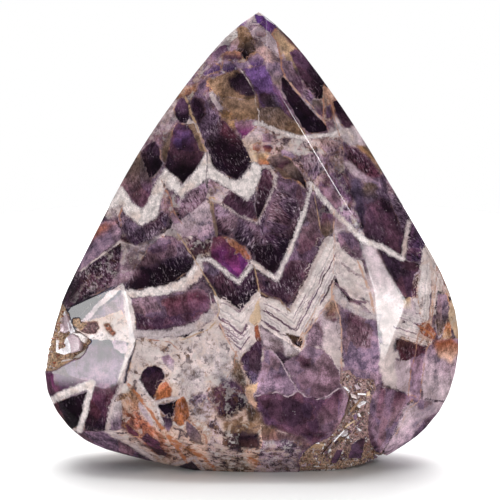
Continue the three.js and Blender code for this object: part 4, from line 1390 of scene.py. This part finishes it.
def slab(place, colour, top, outline, rng):
    """One large flat crystal with bevelled edges that stands on a hollow's floor."""
    found = surface_at(place, corners_of(outline))
    surface, normals = smooth_points[found], smooth_normals[found]
    count = len(found)
    deep = top + rng.uniform(0, 0.3, count)
    rings = []
    for spread, sink in ((1.06, depth[found] + 0.4), (1.0, deep + 0.45), (0.84, deep)):
        ring = surface - normals * sink[:, None]
        centre = ring.mean(axis=0)
        rings.append(centre + (ring - centre) * spread)
    corners = np.vstack([*rings, rings[-1].mean(axis=0)])
    faces = []
    for k in range(count):
        after = (k + 1) % count
        for low, high in ((0, count), (count, 2 * count)):
            faces += [(low + k, low + after, high + after), (low + k, high + after, high + k)]
        faces.append((2 * count + k, 2 * count + after, 3 * count))
    faces = np.array(faces)
    first, second, third = corners[faces[-1]]
    upwards = np.cross(second - first, third - first)
    if upwards @ normals[0] < 0:
        faces = faces[:, ::-1]
    return corners, faces, np.tile(linear(colour) * 1.1, (len(corners), 1))


def blade(place, colour, width, line, rng):
    found = surface_at(place, corners_of(line))
    ends = smooth_points[found] - smooth_normals[found] * 0.55
    way = ends[1] - ends[0]
    length = np.linalg.norm(way)
    corners, triangles = crystal_cloud(
        ends[:1], way[None] / length, np.array([width / 2 * PIXEL]), np.array([length]), rng)
    return corners, triangles, np.tile(linear(colour) * 1.1, (len(corners), 1))


def pressed_in(corners):
    """Points in mm that stood out of the polished surface, moved back below it."""
    for k, corner in enumerate(corners):
        _, nearest, _ = surface_tree.find(corner)
        height = (corner - smooth_points[nearest]) @ smooth_normals[nearest]
        corners[k] -= smooth_normals[nearest] * max(height + LEAST_COVER, 0)
    corners[:, 2] = np.maximum(corners[:, 2], LEAST_COVER)
    return corners


def druse(name, node, groups, material):
    """One piece from groups of crystals, each with its corners, triangles and colours."""
    starts = np.cumsum([0] + [len(corners) for corners, _, _ in groups])
    corners = pressed_in(np.vstack([group[0] for group in groups]))
    triangles = np.vstack([group[1] + start for group, start in zip(groups, starts)])
    piece = mesh_object(name, corners, triangles, smooth=False)
    store(piece.data, "tint", np.vstack([group[2] for group in groups]))
    piece.data.materials.append(material)
    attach(piece, "root")
    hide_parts(node)
    return piece


def floor_of(hollow):
    """Points, normals and depths of a hollow's floor."""
    outline = corners_of(next(row[-1] for row in HOLLOWS if row[0] == hollow))
    chosen = near(frame_place, outline, 0)
    chosen = chosen[(inside_distance(frame_place[chosen], outline) > 0) & (depth[chosen] > 0.4)]
    return points[chosen], smooth_normals[chosen], depth[chosen]


def large_crystals(low, high, seed):
    """The slabs and blades between two columns of the frame."""
    rng = np.random.default_rng(seed)
    made = []
    for shape, rows in ((slab, SLABS), (blade, BLADES)):
        made += [shape(frame_place, *row, rng) for row in rows if low < corners_of(row[-1])[0, 0] < high]
    return made


druse_finish = druse_material()
rng = np.random.default_rng(11)
druse("vug_crystals", "vug_crust", [
    scattered(floor_of("vug"), 520, (0.4, 1.2), 0.1, ("rust", "peach", "clay", "bone", "sand", "tan"), rng),
    *large_crystals(0, 200, 3),
], druse_finish)
druse("seam_crystals", "seam_crust", [
    scattered(
        floor_of("seam"), 1500, (0.4, 1.1), 0.2,
        ("tan", "rose", "clay", "smoke", "sand", "bone", "mauve"), rng),
    scattered(
        floor_of("seam"), 150, (1.2, 2.8), 0.65,
        ("tan", "smoke", "bone", "white", "haze", "mauve", "pale"), rng),
    # Small white crystals, partly painted glints: their white also stands in for sparkles of light on the seam
    scattered(floor_of("seam"), 260, (0.5, 1.0), 0.3, ("white", "white", "milk", "cream"), rng),
    *large_crystals(200, 500, 4),
], druse_finish)


# Stage, lights and camera
def softbox(name, turn, tilt, width, height, radiance, distance, roll):
    """A lit panel that faces the stone: the angles say where it stands and how wide it looks."""
    data = bpy.data.lights.new(name, "AREA")
    data.shape = "RECTANGLE"
    data.size = 2 * distance * math.tan(math.radians(width / 2))
    data.size_y = 2 * distance * math.tan(math.radians(height / 2))
    data.energy = radiance * math.pi * data.size * data.size_y
    light = bpy.data.objects.new(name, data)
    way = direction(turn, tilt)
    light.location = Vector(LIT_POINT) + way * distance
    turned = way.to_track_quat("Z", "Y") @ Quaternion((0, 0, 1), math.radians(roll))
    light.rotation_euler = turned.to_euler()
    light.visible_camera = False
    bpy.context.scene.collection.objects.link(light)


def sun(name, turn, tilt, spread, strength):
    data = bpy.data.lights.new(name, "SUN")
    data.angle = math.radians(spread)
    data.energy = strength
    light = bpy.data.objects.new(name, data)
    light.rotation_euler = direction(turn, tilt).to_track_quat("Z", "Y").to_euler()
    bpy.context.scene.collection.objects.link(light)


for row in SOFTBOXES:
    softbox(*row)
sun("overhead", turn=180, tilt=80, spread=50, strength=2.8)

floor_mesh = bpy.data.meshes.new("floor")
around = np.linspace(0, 2 * math.pi, FLOOR_SIDES, endpoint=False)
rim = [(FLOOR_RADII[0] * math.cos(a), FLOOR_SHIFT + FLOOR_RADII[1] * math.sin(a), 0) for a in around]
floor_mesh.from_pydata(rim, [], [tuple(range(FLOOR_SIDES))])
floor = bpy.data.objects.new("floor", floor_mesh)
bpy.context.scene.collection.objects.link(floor)
floor_material = bpy.data.materials.new("floor")
floor_material.use_nodes = True
floor_shader = floor_material.node_tree.nodes["Principled BSDF"]
floor_shader.inputs["Base Color"].default_value = FLOOR_COLOUR
floor_shader.inputs["Roughness"].default_value = 0.9
floor_mesh.materials.append(floor_material)
floor.visible_glossy = False

world = bpy.data.worlds.new("studio")
bpy.context.scene.world = world
world.use_nodes = True
nodes, links = world.node_tree.nodes, world.node_tree.links
path = nodes.new("ShaderNodeLightPath")
mix = nodes.new("ShaderNodeMix")
mix.data_type = "RGBA"
mix.inputs["A"].default_value = WORLD_LIGHT
mix.inputs["B"].default_value = (1, 1, 1, 1)
links.new(path.outputs["Is Camera Ray"], mix.inputs["Factor"])
links.new(mix.outputs["Result"], nodes["Background"].inputs["Color"])

camera_data = bpy.data.cameras.new("camera")
camera_data.sensor_width = SENSOR
camera_data.lens = SENSOR / 2 / (FRAME_WIDTH / 2 / FRONT_DISTANCE)
camera = bpy.data.objects.new("camera", camera_data)
back = direction(0, CAMERA_ELEVATION)
camera.location = Vector(CAMERA_TARGET) * MM + back * CAMERA_DISTANCE * MM
camera.rotation_euler = back.to_track_quat("Z", "Y").to_euler()
bpy.context.scene.collection.objects.link(camera)
bpy.context.scene.camera = camera
bpy.context.scene.view_settings.view_transform = "Standard"
